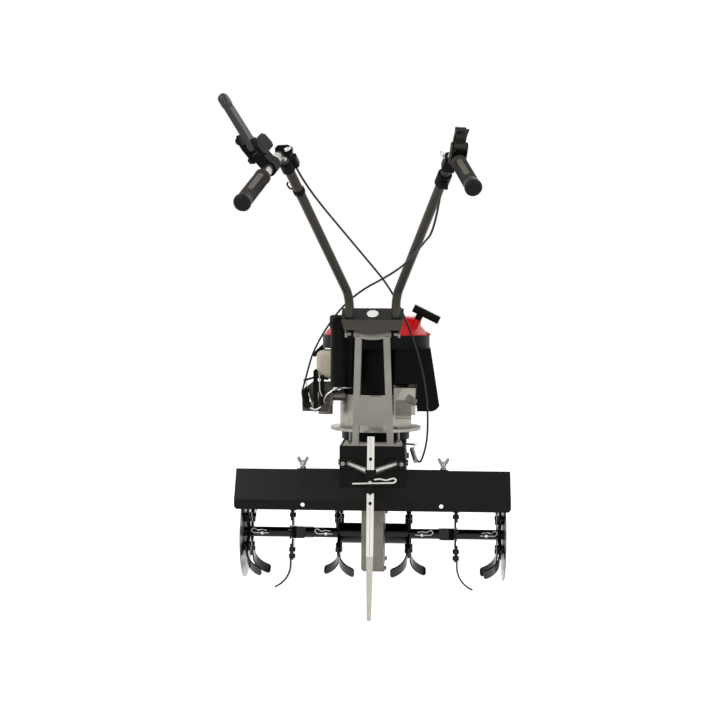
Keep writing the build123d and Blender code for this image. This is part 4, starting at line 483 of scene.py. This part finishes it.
# Starter rope: braided polyester, pale and dull
ROPE_FIBRE = BraidedFibre("braided_polyester", "#cfc9bb", 0.8, specular=0.3, grain_depth_mm=0.4)
# The yoke's plain round plate: pale anodised aluminium, satin and even
PLAIN_DISC = PlatedSteel("pale_anodised_aluminium", "#e4e2dc", 0.35, metallic=0.6, tone=0.05, grain_mm=3.0)


def dress(nodes: Iterable[str], finish: Finish) -> None:
    """Gives CAD nodes a finish through their own material slots.

    Args:
        nodes: Names of CAD nodes.
        finish: The finish they take.
    """
    for name in nodes:
        for slot in frame["nodes"][name].material_slots:
            slot.material = finish.material()
        LOG.info("dressed %s in %s", name, finish.name)


def linked(name: str, data: bpy.types.ID) -> Piece:
    """Makes an object of some data and links it to the scene.

    Args:
        name: The object's name.
        data: Its mesh, curve, lamp or camera.

    Returns:
        The new object.
    """
    piece = bpy.data.objects.new(name, data)
    bpy.context.scene.collection.objects.link(piece)
    return piece


def settle(mesh: Mesh, name: str, finish: Finish, smooth: bool = True) -> Piece:
    """Links a finished mesh as an object at the origin, with one finish.

    Args:
        mesh: The mesh, with its place in its points.
        name: The piece's name.
        finish: The finish it takes.
        smooth: Whether its faces shade smoothly.

    Returns:
        The new object.
    """
    mesh.name = name
    mesh.materials.append(finish.material())
    mesh.polygons.foreach_set("use_smooth", [smooth] * len(mesh.polygons))
    LOG.info("built %s, %d faces", name, len(mesh.polygons))
    return linked(name, mesh)


def placed(origin: Place, along: Place, across: Place) -> Matrix:
    """Sets up a frame whose Z runs along one direction and whose X leans to another.

    Args:
        origin: Its middle.
        along: Where its Z runs.
        across: Where its X leans to.

    Returns:
        The frame's matrix.
    """
    z, lean = Vector(along).normalized(), Vector(across)
    x = (lean - z * lean.dot(z)).normalized()
    turn = Matrix((x, z.cross(x), z)).transposed().to_4x4()
    return Matrix.Translation(origin) @ turn


def baked(source: Piece) -> Mesh:
    """Turns an object into a plain mesh and removes the object.

    Args:
        source: A curve, or a carrier of geometry nodes.

    Returns:
        The evaluated mesh.
    """
    bpy.context.view_layer.update()
    graph = bpy.context.evaluated_depsgraph_get()
    mesh = bpy.data.meshes.new_from_object(source.evaluated_get(graph))
    bpy.data.batch_remove([source, source.data])
    return mesh


def wire_mesh(points: Sequence[Place], bevel: float, smooth: bool = False) -> Mesh:
    """Draws a round wire of one open spline, or a bare line.

    Args:
        points: Its points in metres.
        bevel: Radius of its round section in metres, or nothing for a bare line.
        smooth: Whether a soft curve takes the points as its handles.

    Returns:
        The wire as a plain mesh.
    """
    data = bpy.data.curves.new("wire", "CURVE")
    data.dimensions = "3D"
    data.resolution_u = 16
    data.bevel_depth = bevel
    data.bevel_resolution = 4
    data.use_fill_caps = True
    spline = data.splines.new("NURBS" if smooth else "POLY")
    spline.points.add(len(points) - 1)
    for slot, point in zip(spline.points, points):
        slot.co = (*point, 1.0)
    if smooth:
        spline.order_u = 3
        spline.use_endpoint_u = True
    return baked(linked("wire", data))


def sealed(made: bmesh.types.BMesh, place: Matrix) -> Mesh:
    """Turns the faces outward and sets the shape in its place.

    Args:
        made: The shape in millimetres.
        place: Where it stands.

    Returns:
        The shape as a mesh in metres.
    """
    bmesh.ops.recalc_face_normals(made, faces=made.faces)
    made.transform(place @ Matrix.Scale(MM, 4))
    mesh = bpy.data.meshes.new("shape")
    made.to_mesh(mesh)
    made.free()
    return mesh


@dataclass(frozen=True)
class Turning:
    """A shape turned round an axis, by radius and height of each ring in millimetres."""

    profile: Outline
    steps: int = 48

    def mesh(self, place: Matrix) -> Mesh:
        """Turns the profile round its axis.

        Args:
            place: Where the axis stands.

        Returns:
            A mesh with its normals outward, open where the profile ends off the axis.
        """
        made = bmesh.new()
        angles = [2 * math.pi * step / self.steps for step in range(self.steps)]
        rings = []
        for radius, height in self.profile:
            round_it = angles if radius else angles[:1]
            places = [(radius * math.cos(angle), radius * math.sin(angle), height) for angle in round_it]
            rings.append([made.verts.new(corner) for corner in places])
        for low, high in zip(rings, rings[1:]):
            for step in range(self.steps):
                corners = ((low, step), (low, step + 1), (high, step + 1), (high, step))
                made.faces.new(list(dict.fromkeys(ring[turn % len(ring)] for ring, turn in corners)))
        return sealed(made, place)


@dataclass(frozen=True)
class Slab:
    """A plate on an outline, from a low to a high face, with its long edges broken; in millimetres."""

    outline: Outline
    low: float
    high: float
    soft: float = 1.0

    def mesh(self, place: Matrix) -> Mesh:
        """Builds the plate.

        Args:
            place: Where its plane lies.

        Returns:
            A closed mesh with its normals outward.
        """
        corners = [Vector(corner) for corner in self.outline]
        middle = sum(corners, Vector((0.0, 0.0))) / len(corners)
        made = bmesh.new()
        rings = []
        walls = (0.0, self.low + self.soft), (0.0, self.high - self.soft)
        for inset, height in ((self.soft, self.low), *walls, (self.soft, self.high)):
            moved = [corner + (middle - corner).normalized() * inset for corner in corners]
            rings.append([made.verts.new((corner.x, corner.y, height)) for corner in moved])
        made.faces.new(rings[0])
        made.faces.new(rings[-1])
        for under, over in zip(rings, rings[1:]):
            for step in range(len(corners)):
                after = (step + 1) % len(corners)
                made.faces.new((under[step], under[after], over[after], over[step]))
        return sealed(made, place)


@dataclass(frozen=True)
class Rod:
    """A round wire along its points, in millimetres."""

    points: tuple[Point, ...]
    radius: float

    def mesh(self, start: Vector = Vector((0, 0, 0))) -> Mesh:
        """Returns the wire as a mesh, with its points counted from a start in metres."""
        return wire_mesh([start + Vector(point) * MM for point in self.points], self.radius * MM)


def fit(
    shapes: Iterable[Mesh], name: str, finish: Finish, body: Body, smooth: bool = False
) -> Piece:
    """Joins shapes into one fitting that rides on a body.

    Args:
        shapes: The meshes that make it up.
        name: The fitting's name.
        finish: The finish it takes.
        body: The body that carries it.
        smooth: Whether its faces shade smoothly.

    Returns:
        The fitting's object.
    """
    made = bmesh.new()
    for shape in shapes:
        made.from_mesh(shape)
        bpy.data.meshes.remove(shape)
    mesh = bpy.data.meshes.new(name)
    made.to_mesh(mesh)
    made.free()
    piece = settle(mesh, name, finish, smooth)
    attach(piece, body.value)
    return piece


class Repeat(Enum):
    """What a row repeats: round hoops or flat plates."""

    HOOP = "row_of_hoops"
    PLATE = "row_of_plates"


@dataclass(frozen=True)
class Row:
    """Equal hoops or plates set along a line, each square to it, with step and size in millimetres."""

    kind: Repeat
    count: int
    start: Point
    step: Point
    size: Point
    ring_corners: int = 40
    bead_corners: int = 8

    def tree(self) -> Tree:
        """Builds the kind's geometry tree on its first use, with named inputs for its sizes.

        Returns:
            The tree.
        """
        if made := bpy.data.node_groups.get(self.kind.value):
            return made
        tree = bpy.data.node_groups.new(self.kind.value, "GeometryNodeTree")
        kinds = {"Count": "Int", "Start": "Vector", "Step": "Vector", "Size": "Vector"}
        for name, kind in kinds.items():
            tree.interface.new_socket(name=name, in_out="INPUT", socket_type="NodeSocket" + kind)
        tree.interface.new_socket(name="Row", in_out="OUTPUT", socket_type="NodeSocketGeometry")
        given = add_node(tree, "NodeGroupInput").outputs
        run = {"Count": given["Count"], "Start Location": given["Start"], "Offset": given["Step"]}
        points = add_node(tree, "GeometryNodeMeshLine", run, mode="OFFSET").outputs["Mesh"]
        turn = add_node(tree, "FunctionNodeAlignRotationToVector", {"Vector": given["Step"]}, axis="Z")
        unit = self.unit(tree, given["Size"])
        units = {"Points": points, "Instance": unit, "Rotation": turn.outputs["Rotation"]}
        set_out = add_node(tree, "GeometryNodeInstanceOnPoints", units).outputs["Instances"]
        real = add_node(tree, "GeometryNodeRealizeInstances", {"Geometry": set_out})
        add_node(tree, "NodeGroupOutput", {"Row": real.outputs["Geometry"]})
        return tree

    def unit(self, tree: Tree, size: Socket) -> Socket:
        """Builds what the row repeats.

        Args:
            tree: The row's geometry tree.
            size: Ring and bead radius of a hoop, or the three sides of a plate.

        Returns:
            One hoop or plate.
        """
        if self.kind is Repeat.PLATE:
            return add_node(tree, "GeometryNodeMeshCube", {"Size": size}).outputs["Mesh"]
        sizes = add_node(tree, "ShaderNodeSeparateXYZ", {"Vector": size}).outputs
        circles = []
        for corners, radius in ((self.ring_corners, sizes["X"]), (self.bead_corners, sizes["Y"])):
            circle = {"Resolution": corners, "Radius": radius}
            circles.append(add_node(tree, "GeometryNodeCurvePrimitiveCircle", circle).outputs["Curve"])
        swept = {"Curve": circles[0], "Profile Curve": circles[1]}
        return add_node(tree, "GeometryNodeCurveToMesh", swept).outputs["Mesh"]

    def mesh(self) -> Mesh:
        """Sets the row out once.

        Returns:
            The row as a plain mesh.
        """
        carrier = linked("row", bpy.data.meshes.new("row"))
        modifier = carrier.modifiers.new("row", "NODES")
        modifier.node_group = self.tree()
        step, size = Vector(self.step) * MM, Vector(self.size) * MM
        given = {"Count": self.count, "Start": self.start, "Step": step, "Size": size}
        for item in modifier.node_group.interface.items_tree:
            if item.in_out == "INPUT":
                modifier[item.identifier] = given[item.name]
        return baked(carrier)


@dataclass(frozen=True)
class ControlCable:
    """A Bowden cable: a PVC sheath from the handlebar down to the machine."""

    node: str
    route: tuple[Point, ...]
    fixed_below: Point
    free_above: Point
    diameter: float = 0.005

    def build(self) -> None:
        """Draws the sheath on the route's smooth line."""
        bare = wire_mesh(self.route, 0.0, smooth=True)
        bpy.data.meshes.remove(bare)
        tube = wire_mesh(self.route, self.diameter / 2, smooth=True)
        piece = settle(tube, self.node + "_sheath", CABLE_SHEATH)
        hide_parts(self.node)
        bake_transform(piece)


@dataclass(frozen=True)
class Grip:
    """A moulded rubber grip over one handle end, with ribs, a hard end cap and a flat panel."""

    side: int
    run: float
    length: float = 140.0
    radius: float = 16.5
    bore: float = 11.1
    droop: float = math.radians(29.2)
    splay: float = math.radians(13.2)
    ribs: int = 22
    rib_start: float = 16.0
    rib_pitch: float = 4.4
    rib_bead: float = 1.1
    panel_half: float = 5.5
    panel_run: Flat = (26.0, 96.0)
    panel_point: float = 5.0
    panel_sunk: float = 3.0
    panel_rise: float = 1.1
    panel_lean: Point = (-0.35, -0.2, 0.9)

    def build(self) -> None:
        """Builds the grip's turned body and its ribs on the handlebar, then its trim."""
        level = math.cos(self.droop)
        aside, back = self.side * math.sin(self.splay), -math.cos(self.splay)
        line = Vector((aside * level, back * level, -math.sin(self.droop)))
        top = BEND_TOP if self.side > 0 else BEND_TOP * MIRROR
        start = top + line * (self.run - self.length) * MM
        out, far = self.radius, self.length
        profile = (
            (self.bore, 0), (out - 2, 0), (out + 0.6, 2), (out + 0.6, 7), (out - 1.2, 10),
            (out - 0.8, far - 22), (out, far - 18), (out + 0.4, far - 12), (out, far - 4),
            (out - 3, far - 0.6), (out - 8, far), (0, far),
        )
        name = "grip_cover_right" if self.side > 0 else "grip_cover_left"
        body = Turning(profile).mesh(placed(start, line, UP))
        piece = fit([body], name, GRIP_RUBBER, Body.HANDLEBAR, smooth=True)
        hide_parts("grip_right" if self.side > 0 else "grip_left")
        first, step = start + line * self.rib_start * MM, line * self.rib_pitch
        ribs = Row(Repeat.HOOP, self.ribs, first[:], step[:], (out - self.rib_bead, self.rib_bead, 0.0))
        fit([ribs.mesh()], name + "_ribs", GRIP_RUBBER, Body.HANDLEBAR, smooth=True)
        self.trim(name, start, line)

    def trim(self, name: str, start: Vector, line: Vector) -> None:
        """Adds the hard end cap and the flat panel on the grip's upper inner side.

        Args:
            name: The grip's name.
            start: Middle of its inner end.
            line: Its direction.
        """
        out, far = self.radius, self.length
        profile = (
            (0, far - 12), (out + 0.8, far - 12), (out + 1.6, far - 10), (out + 1.6, far - 5),
            (out - 1, far + 0.2), (9, far + 1.2), (4.5, far + 0.6), (0, far + 0.6),
        )
        cap = Turning(profile).mesh(placed(start, line, UP))
        fit([cap], name + "_cap", CAP_RUBBER, Body.HANDLEBAR, smooth=True)
        inward, back, up = self.panel_lean
        lean = Vector((inward * self.side, back, up))
        facing = lean - line * lean.dot(line)
        half, tip = self.panel_half, self.panel_point
        low, high = self.panel_run
        outline = ((low, -half), (high, -half), (high + tip, 0), (high, half), (low, half), (low - tip, 0))
        panel = Slab(outline, out - self.panel_sunk, out + self.panel_rise).mesh(placed(start, facing, line))
        fit([panel], name + "_panel", PANEL_RUBBER, Body.HANDLEBAR)


@dataclass(frozen=True)
class TensionSpring:
    """The clutch cable's return spring, wound from plated wire, from the cable to the tension arm."""

    rear: Point = (0.109, 0.207631, 0.356)
    front: Point = (0.098, 0.313631, 0.375)
    radius: float = 0.006
    wire: float = 0.001
    turns: int = 16
    hook: float = 0.016
    steps: int = 20

    def build(self) -> None:
        """Winds the spring between the machine and the arm."""
        rear = Vector(self.rear)
        run = Vector(self.front) - rear
        way = run.normalized()
        side = way.cross(UP).normalized()
        up = side.cross(way)
        points = []
        for step in range(self.turns * self.steps + 1):
            turn = step / self.steps
            angle = 2 * math.pi * turn
            spoke = side * math.cos(angle) + up * math.sin(angle)
            points.append(rear + run * (turn / self.turns) + spoke * self.radius)
        points.append(points[-1] + up * self.hook)
        piece = settle(wire_mesh(points, self.wire), "tension_spring_coil", ZINC_PLATE)
        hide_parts("tension_spring")
        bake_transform(piece)


@dataclass(frozen=True)
class StarterRope:
    """The recoil starter's rope between its guide and the pull handle."""

    exit: Point = (0.105, 0.293631, 0.706)
    line: Point = (0.41983, -0.29988, 0.85665)
    inside: float = 0.016
    outside: float = 0.0304
    radius: float = 0.002

    def build(self) -> None:
        """Draws the braided rope."""
        way = Vector(self.line).normalized()
        start = Vector(self.exit) - way * self.inside
        end = Vector(self.exit) + way * self.outside
        rope = wire_mesh([start, (start + end) / 2, end], self.radius)
        piece = settle(rope, "starter_rope_braid", ROPE_FIBRE)
        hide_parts("starter_rope")
        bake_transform(piece)


@dataclass(frozen=True)
class Yoke:
    """The handlebar's yoke with its plain round plate."""

    brow: Point = (0.0, 0.082631, 0.716)
    crown: Point = (0.0, 0.122631, 0.744)
    disc: Turning = Turning(
        ((0, 0), (14.5, 0), (14.5, 0.84), (13.9, 1.4), (12.3, 1.4), (11.7, 0.98), (0, 1.12))
    )
    sunk: float = 0.0002

    def build(self) -> None:
        """Sets a plain domed disc on the middle of the sloped face."""
        brow, crown = Vector(self.brow), Vector(self.crown)
        out = RIGHT.cross(crown - brow).normalized()
        disc = self.disc.mesh(placed((brow + crown) / 2 - out * self.sunk, out, RIGHT))
        fit([disc], "yoke_plain_disc", PLAIN_DISC, Body.HANDLEBAR)


@dataclass(frozen=True)
class ClutchHousing:
    """The moulded shells round the clutch lever's pivot, and the hanger on the bend beside them."""

    pivot: Point = (-0.2351, -0.339744, 1.07819)
    axis: Point = (0.733358, -0.459586, 0.500966)
    up: Point = (-0.650, -0.258, 0.715)
    right: Slab = Slab(
        ((-28, -26), (-20, -32), (2, -32), (8, -24), (8, 18), (-2, 31), (-22, 31), (-28, 22)), 13.4, 24.9, 2.2
    )
    left: Slab = Slab(
        ((-28, -15), (0, -24), (34, -22), (38, -8), (34, 3), (10, 14), (-26, 16)), -19.4, -13.4, 1.8
    )
    boss_place: Point = (0.026, -0.007, 0.0)
    boss: Turning = Turning(((0, -18.4), (8.5, -18.4), (8.5, -23.9), (6.5, -25.9), (0, -25.9)), 24)
    screw: Turning = Turning(
        ((0, -24.9), (4.8, -24.9), (4.8, -26.7), (3.6, -28.1), (1.2, -28.5), (0, -27.3)), 20
    )
    hanger_place: Point = (-0.179, -0.262, 1.078)
    hanger: Slab = Slab(
        ((-18, -12), (-6, -15), (14, -13), (19, -4), (19, 8), (10, 13), (-12, 12), (-18, 6)), -12, 14.5, 2.4
    )
    clip_run: float = 0.117
    clip: Turning = Turning(((11, -6), (12.8, -6), (13.6, -4), (13.6, 4), (12.8, 6), (11, 6)), 32)
    hook: Rod = Rod(((-11, -4, 2), (-21, -6, 6), (-26, -7, 13), (-24, -7, 19)), 2.2)
    barrel_place: Point = (-0.170, -0.281, 1.080)
    barrel_line: Point = (0.9, 0.0, 0.43)
    barrel: Turning = Turning(((0, -6), (3.6, -6), (4.4, -4), (4.4, 3), (2.8, 5), (2.8, 9), (0, 9)), 24)

    def build(self) -> None:
        """Builds both shells with their screw boss, then the hanger with its barrel and the cable clip."""
        place = placed(self.pivot, self.axis, self.up)
        stud = place @ Matrix.Translation(self.boss_place)
        shells = [self.right.mesh(place), self.left.mesh(place), self.boss.mesh(stud)]
        fit(shells, "clutch_pivot_shells", BLACK_NYLON, Body.HANDLEBAR)
        fit([self.screw.mesh(stud)], "clutch_pivot_screw", DULL_ZINC, Body.HANDLEBAR)
        tube = TUBE_LINE * MIRROR
        seat = BEND_TOP * MIRROR + tube * self.clip_run
        bracket = self.hanger.mesh(placed(self.hanger_place, BACK, RIGHT))
        shapes = [bracket, self.clip.mesh(placed(seat, tube, UP)), self.hook.mesh(seat)]
        fit(shapes, "left_hanger_and_clip", BLACK_NYLON, Body.HANDLEBAR)
        barrel = self.barrel.mesh(placed(self.barrel_place, self.barrel_line, AHEAD))
        fit([barrel], "left_cable_barrel", ZINC_PLATE, Body.HANDLEBAR, smooth=True)


@dataclass(frozen=True)
class ThrottleControl:
    """The thumb throttle's moulded box on the right tube, its paddle and its cable adjuster."""

    pivot: Point = (0.195917, -0.310913, 1.08165)
    axis: Point = (-0.973579, -0.228351, 0.0)
    up: Point = (0.1114, -0.4751, 0.8729)
    box: Slab = Slab(
        (
            (-14.5, -10.5), (-10.5, -14.5), (10.5, -14.5), (14.5, -10.5),
            (14.5, 11.5), (11.5, 14.5), (-11.5, 14.5), (-14.5, 11.5),
        ),
        12, 46, 2,
    )
    shroud: Slab = Slab(((-12.8, -19), (12.8, -19), (12.8, -8.8), (-12.8, -8.8)), -3, 4)
    paddle_reach: float = 0.030
    paddle: Slab = Slab(((-13, 14), (10, 11), (13, 0), (9, -12), (-10, -12), (-14, 0)), -3, 3, 1.4)
    adjuster_place: Point = (0.161, -0.277, 1.069)
    adjuster_line: Point = (0.35, 0.0, -0.94)
    adjuster: Turning = Turning(
        ((0, -8), (2.6, -8), (2.6, -3), (3.8, -2), (3.8, 4), (2.6, 5), (2.6, 9), (0, 9)), 24
    )

    def build(self) -> None:
        """Builds the box round the tube, the lever's paddle and the plated adjuster."""
        pivot, up = Vector(self.pivot), Vector(self.up)
        across = up.cross(Vector(self.axis)).normalized()
        box = self.box.mesh(placed(BEND_TOP, TUBE_LINE, RIGHT))
        shroud = self.shroud.mesh(placed(pivot, across, RIGHT))
        fit([box, shroud], "throttle_box", BLACK_NYLON, Body.HANDLEBAR)
        paddle = self.paddle.mesh(placed(pivot + up * self.paddle_reach, across, RIGHT))
        fit([paddle], "throttle_paddle", FADED_NYLON, Body.THUMB_LEVER)
        adjuster = self.adjuster.mesh(placed(self.adjuster_place, self.adjuster_line, AHEAD))
        fit([adjuster], "throttle_adjuster", ZINC_PLATE, Body.HANDLEBAR, smooth=True)


@dataclass(frozen=True)
class EngineTrim:
    """The engine's fins, breather plate, governor links and the ribs of its air cleaner."""

    fins: Row = Row(Repeat.PLATE, 12, (0.0755, 0.2435, 0.461), (0, 0, 4.2), (40, 5.5, 1.6))
    cleaner_ribs: Row = Row(Repeat.HOOP, 6, (-0.080, 0.200631, 0.566), (0, 0, 21), (29.8, 1.2, 0))
    breather_place: Point = (0.0955, 0.2435, 0.508)
    breather_turn: Point = (0.86, 0.0, -0.51)
    breather: Slab = Slab(((-14, -9), (12, -9), (14, -6), (14, 7), (11, 10), (-14, 10)), -3, 4, 0.8)
    breather_fins: Row = Row(Repeat.PLATE, 6, (0.0869, 0.2389, 0.5131), (3.44, 0, -2.04), (16, 2, 1.4))
    governor_place: Point = (-0.1526, 0.254, 0.532)
    links: tuple[Slab, ...] = (
        Slab(((-5, -52), (0, -57), (5, -52), (6.5, 50), (1, 56), (-6, 50)), 0, 4),
        Slab(((12, -36), (16, -40), (20, -36), (22, 36), (17, 41), (13, 36)), -4, 0),
        Slab(((-32, -44), (-20, -47), (-16, -30), (-18, 4), (-26, 10), (-34, -6)), -8, -3),
    )
    bar: Rod = Rod(((-184.5, 258, 556), (-153, 258, 566), (-120, 262, 560)), 2.8)
    rods: tuple[Rod, ...] = (
        Rod(((-181, 262, 563), (-170, 258, 520), (-157, 258, 479)), 1.6),
        Rod(((-166, 249, 486), (-152, 247, 481), (-138, 250, 488)), 2.8),
        Rod(((-143, 252, 575), (-141, 250, 530), (-129, 262, 498)), 1.6),
        Rod(((-134, 262, 503), (-124, 260, 520), (-108, 260, 532), (-90, 262, 537.5), (-60, 283, 538)), 2.6),
    )

    def build(self) -> None:
        """Builds the fins and ribs, the tilted breather plate, and the governor's links and bright rods."""
        fit([self.fins.mesh()], "engine_fins", STAINED_ALLOY, Body.MACHINE)
        ribs = self.cleaner_ribs.mesh()
        fit([ribs], "air_cleaner_ribs", BLACK_NYLON, Body.MACHINE, smooth=True)
        plate = self.breather.mesh(placed(self.breather_place, BACK, self.breather_turn))
        shapes = [plate, self.breather_fins.mesh()]
        fit(shapes, "breather_plate", STAINED_ALLOY, Body.MACHINE)
        front = placed(self.governor_place, BACK, RIGHT)
        links = [link.mesh(front) for link in self.links]
        fit([*links, self.bar.mesh()], "governor_links", BLACK_NYLON, Body.MACHINE)
        rods = [rod.mesh() for rod in self.rods]
        fit(rods, "governor_rods", ZINC_PLATE, Body.MACHINE, smooth=True)


@dataclass(frozen=True)
class WingNuts:
    """The two wing nuts that hold the hood's wings to its centre."""

    out: float = 0.178
    along: float = 0.185631
    skin: float = 0.3362
    lean: Point = (0.0, 0.158, 0.987)
    hub: Turning = Turning(((0, 9), (7.8, 9), (6.6, 20), (5.2, 22), (0, 22)), 24)
    ears: tuple[Slab, ...] = (
        Slab(((4, 13), (10, 16), (15, 26), (13, 31), (8, 30), (3, 20)), -1.8, 1.8, 0.7),
        Slab(((-4, 13), (-10, 16), (-15, 26), (-13, 31), (-8, 30), (-3, 20)), -1.8, 1.8, 0.7),
    )

    def build(self) -> None:
        """Builds a hub and two ears on each seam bolt."""
        shapes = []
        for side in (1, -1):
            seat = Vector((side * self.out, self.along, self.skin))
            shapes.append(self.hub.mesh(placed(seat, self.lean, RIGHT)))
            shapes.extend(ear.mesh(placed(seat, BACK, RIGHT)) for ear in self.ears)
        fit(shapes, "hood_wing_nuts", DULL_ZINC, Body.MACHINE)


FINISHES: tuple[tuple[Finish, tuple[str, ...]], ...] = (
    (BLACK_ENAMEL, ("hood_centre", "hood_wing_right", "hood_wing_left")),
    (FLAT_BLACK, ("chassis_frame", "chassis_floor")),
    (YOKE_BLACK_AND_REFLECTION, ("handle_yoke",)),
    (COLUMN_PAINT_AND_SHADOW, ("column_frame",)),
    (HANDLE_COAT, ("handle_tube_right", "handle_tube_left")),
    (BELT_RUBBER, ("drive_belt",)),
    (BLACK_NYLON, ("cable_anchor", "throttle_clamp", "lever_perch", "starter_handle", "lock_button")),
    (BLACK_NYLON, ("fuel_cap", "air_cleaner", "air_cleaner_lid", "idler_pulley")),
    (FADED_NYLON, ("throttle_lever",)),
    (LEVER_PAINT, ("clutch_lever",)),
    (ENGINE_BLACK, ("blower_housing",)),
    (STARTER_RED, ("recoil_cover",)),
    (TANK_POLYMER, ("fuel_tank",)),
    (ENGINE_ALLOY, ("engine_crankcase",)),
    (CAST_ALLOY, ("cylinder_block",)),
    (STAINED_ALLOY, ("carburettor", "gearbox_half_right", "gearbox_half_left")),
    (FAN_ALLOY, ("flywheel",)),
    (PULLEY_IRON, ("drive_pulley", "driven_pulley")),
    (ZINC_PLATE, ("bar_bolt", "tension_arm", "throttle_arm", "clip_pins")),
    (DULL_ZINC, ("frame_bolts",)),
    (PHOSPHATE_STEEL, ("control_plate",)),
    (BAR_PLATE, ("depth_bar",)),
    (DISC_PLATE, ("end_discs",)),
    (HOLDER_PLATE, ("bar_holder",)),
    (GROUND_STEEL, ("tine_shaft", "worm_shaft", "worm_wheel", "crankshaft", "gearbox_bearings")),
    (ROTOR_PAINT, ("rotor_tubes", "outer_tubes", "inner_tines", "middle_tines", "outer_tines", "tine_bolts")),
    (MUFFLER_SHEET, ("muffler",)),
    (PLUG_GLAZE, ("spark_plug",)),
)

CLUTCH_CABLE = ControlCable(
    "clutch_cable",
    (
        (-0.16001, -0.21899, 1.05592), (-0.144, -0.17237, 1.017), (-0.0379, -0.0188, 0.8908),
        (0.062, 0.12563, 0.772), (0.13, 0.18363, 0.58), (0.141, 0.16963, 0.43), (0.121, 0.16163, 0.352),
        (0.11497, 0.20685, 0.356),
    ),
    fixed_below=(0.115, 0.165, 0.620),
    free_above=(-0.06, -0.05, 0.930),
)
THROTTLE_CABLE = ControlCable(
    "throttle_cable",
    (
        (0.16001, -0.22073, 1.00029), (0.147, -0.24237, 0.912), (0.1208, -0.1593, 0.8855),
        (0.072, -0.00437, 0.836), (-0.062, 0.13363, 0.772), (-0.150, 0.19063, 0.650),
        (-0.175, 0.2113, 0.5625), (-0.190, 0.22363, 0.510), (-0.160, 0.25963, 0.480),
    ),
    fixed_below=(-0.13, 0.178, 0.680),
    free_above=(0.09, -0.06, 0.855),
)


@dataclass(frozen=True)
class Studio:
    """The pale floor, soft light and the camera at the photograph's place."""

    camera_place: Point = (0.117522, -2.894898, 0.729139)
    pitch: float = math.radians(87.85)
    roll: float = math.radians(-0.339)
    yaw: float = math.radians(2.838)
    focal_px: float = 1221.9
    frame_px: float = 720.0
    sensor_mm: float = 36.0
    floor_half: float = 40.0
    floor_glow: float = 0.86
    floor_colour: str = "#b4b4b4"
    ambient: float = 0.55
    aim: Point = (0, 0.1, 0.5)
    lamps: tuple[tuple[str, Point, float, float], ...] = (
        ("key", (-1.9, -2.6, 2.7), 1.8, 70.0),
        ("fill", (2.4, -1.9, 1.7), 1.8, 30.0),
        ("back", (0.6, 2.6, 2.6), 2.0, 40.0),
    )

    def build(self) -> None:
        """Sets up the floor, the surroundings, the soft lamps on the machine's middle and the camera."""
        self.floor()
        self.surround()
        for name, place, size, power in self.lamps:
            data = bpy.data.lights.new(name, "AREA")
            data.size = size
            data.energy = power
            lamp = linked(name, data)
            lamp.location = place
            lamp.rotation_euler = (Vector(self.aim) - Vector(place)).to_track_quat("-Z", "Y").to_euler()
        data = bpy.data.cameras.new("camera")
        data.sensor_width = self.sensor_mm
        data.lens = self.focal_px / self.frame_px * self.sensor_mm
        camera = linked("camera", data)
        camera.location = self.camera_place
        camera.rotation_euler = (self.pitch, self.roll, self.yaw)
        bpy.context.scene.camera = camera
        bpy.context.scene.view_settings.view_transform = "Standard"

    def seen(self, tree: Tree) -> Socket:
        """Tells the rays that show the background: straight, mirrored or through glass.

        Args:
            tree: The shader tree that asks.

        Returns:
            1 on those rays and 0 on all others.
        """
        path = add_node(tree, "ShaderNodeLightPath").outputs
        first = reckoned(tree, "MAXIMUM", path["Is Camera Ray"], path["Is Glossy Ray"])
        return reckoned(tree, "MAXIMUM", first, path["Is Transmission Ray"])

    def surround(self) -> None:
        """Makes the surroundings white to the eye and plain grey as a light."""
        world = bpy.data.worlds.new("studio")
        world.use_nodes = True
        tree = world.node_tree
        back = tree.nodes["Background"]
        back.inputs["Color"].default_value = linear("#ffffff")
        tree.links.new(ranged(tree, self.seen(tree), self.ambient, 1.0), back.inputs["Strength"])
        bpy.context.scene.world = world

    def floor(self) -> None:
        """Lays a pale floor that is white to the eye and keeps the machine's shadow."""
        mesh = bpy.data.meshes.new("floor")
        half = self.floor_half
        corners = [(-half, -half, 0), (half, -half, 0), (half, half, 0), (-half, half, 0)]
        mesh.from_pydata(corners, [], [(0, 1, 2, 3)])
        paper = bpy.data.materials.new("white_paper_floor")
        paper.use_nodes = True
        tree = paper.node_tree
        matte = add_node(tree, "ShaderNodeBsdfDiffuse", {"Color": linear(self.floor_colour)})
        bright = reckoned(tree, "MULTIPLY", self.seen(tree), self.floor_glow)
        glow = add_node(tree, "ShaderNodeEmission", {"Color": linear("#ffffff"), "Strength": bright})
        both = add_node(tree, "ShaderNodeAddShader", {0: matte.outputs["BSDF"], 1: glow.outputs["Emission"]})
        tree.links.new(both.outputs["Shader"], tree.nodes["Material Output"].inputs["Surface"])
        mesh.materials.append(paper)
        floor = linked("floor", mesh)


def main() -> None:
    """Dresses the frame, builds the fine pieces and sets the stage."""
    logging.basicConfig(level=logging.INFO, format="%(message)s")
    for finish, nodes in FINISHES:
        dress(nodes, finish)
    grips = Grip(side=1, run=190.0), Grip(side=-1, run=265.0)
    lines = TensionSpring(), StarterRope()
    fittings = Yoke(), ClutchHousing(), ThrottleControl(), EngineTrim(), WingNuts()
    for piece in (CLUTCH_CABLE, THROTTLE_CABLE, *grips, *lines, *fittings, Studio()):
        piece.build()


if __name__ == "__main__":
    main()
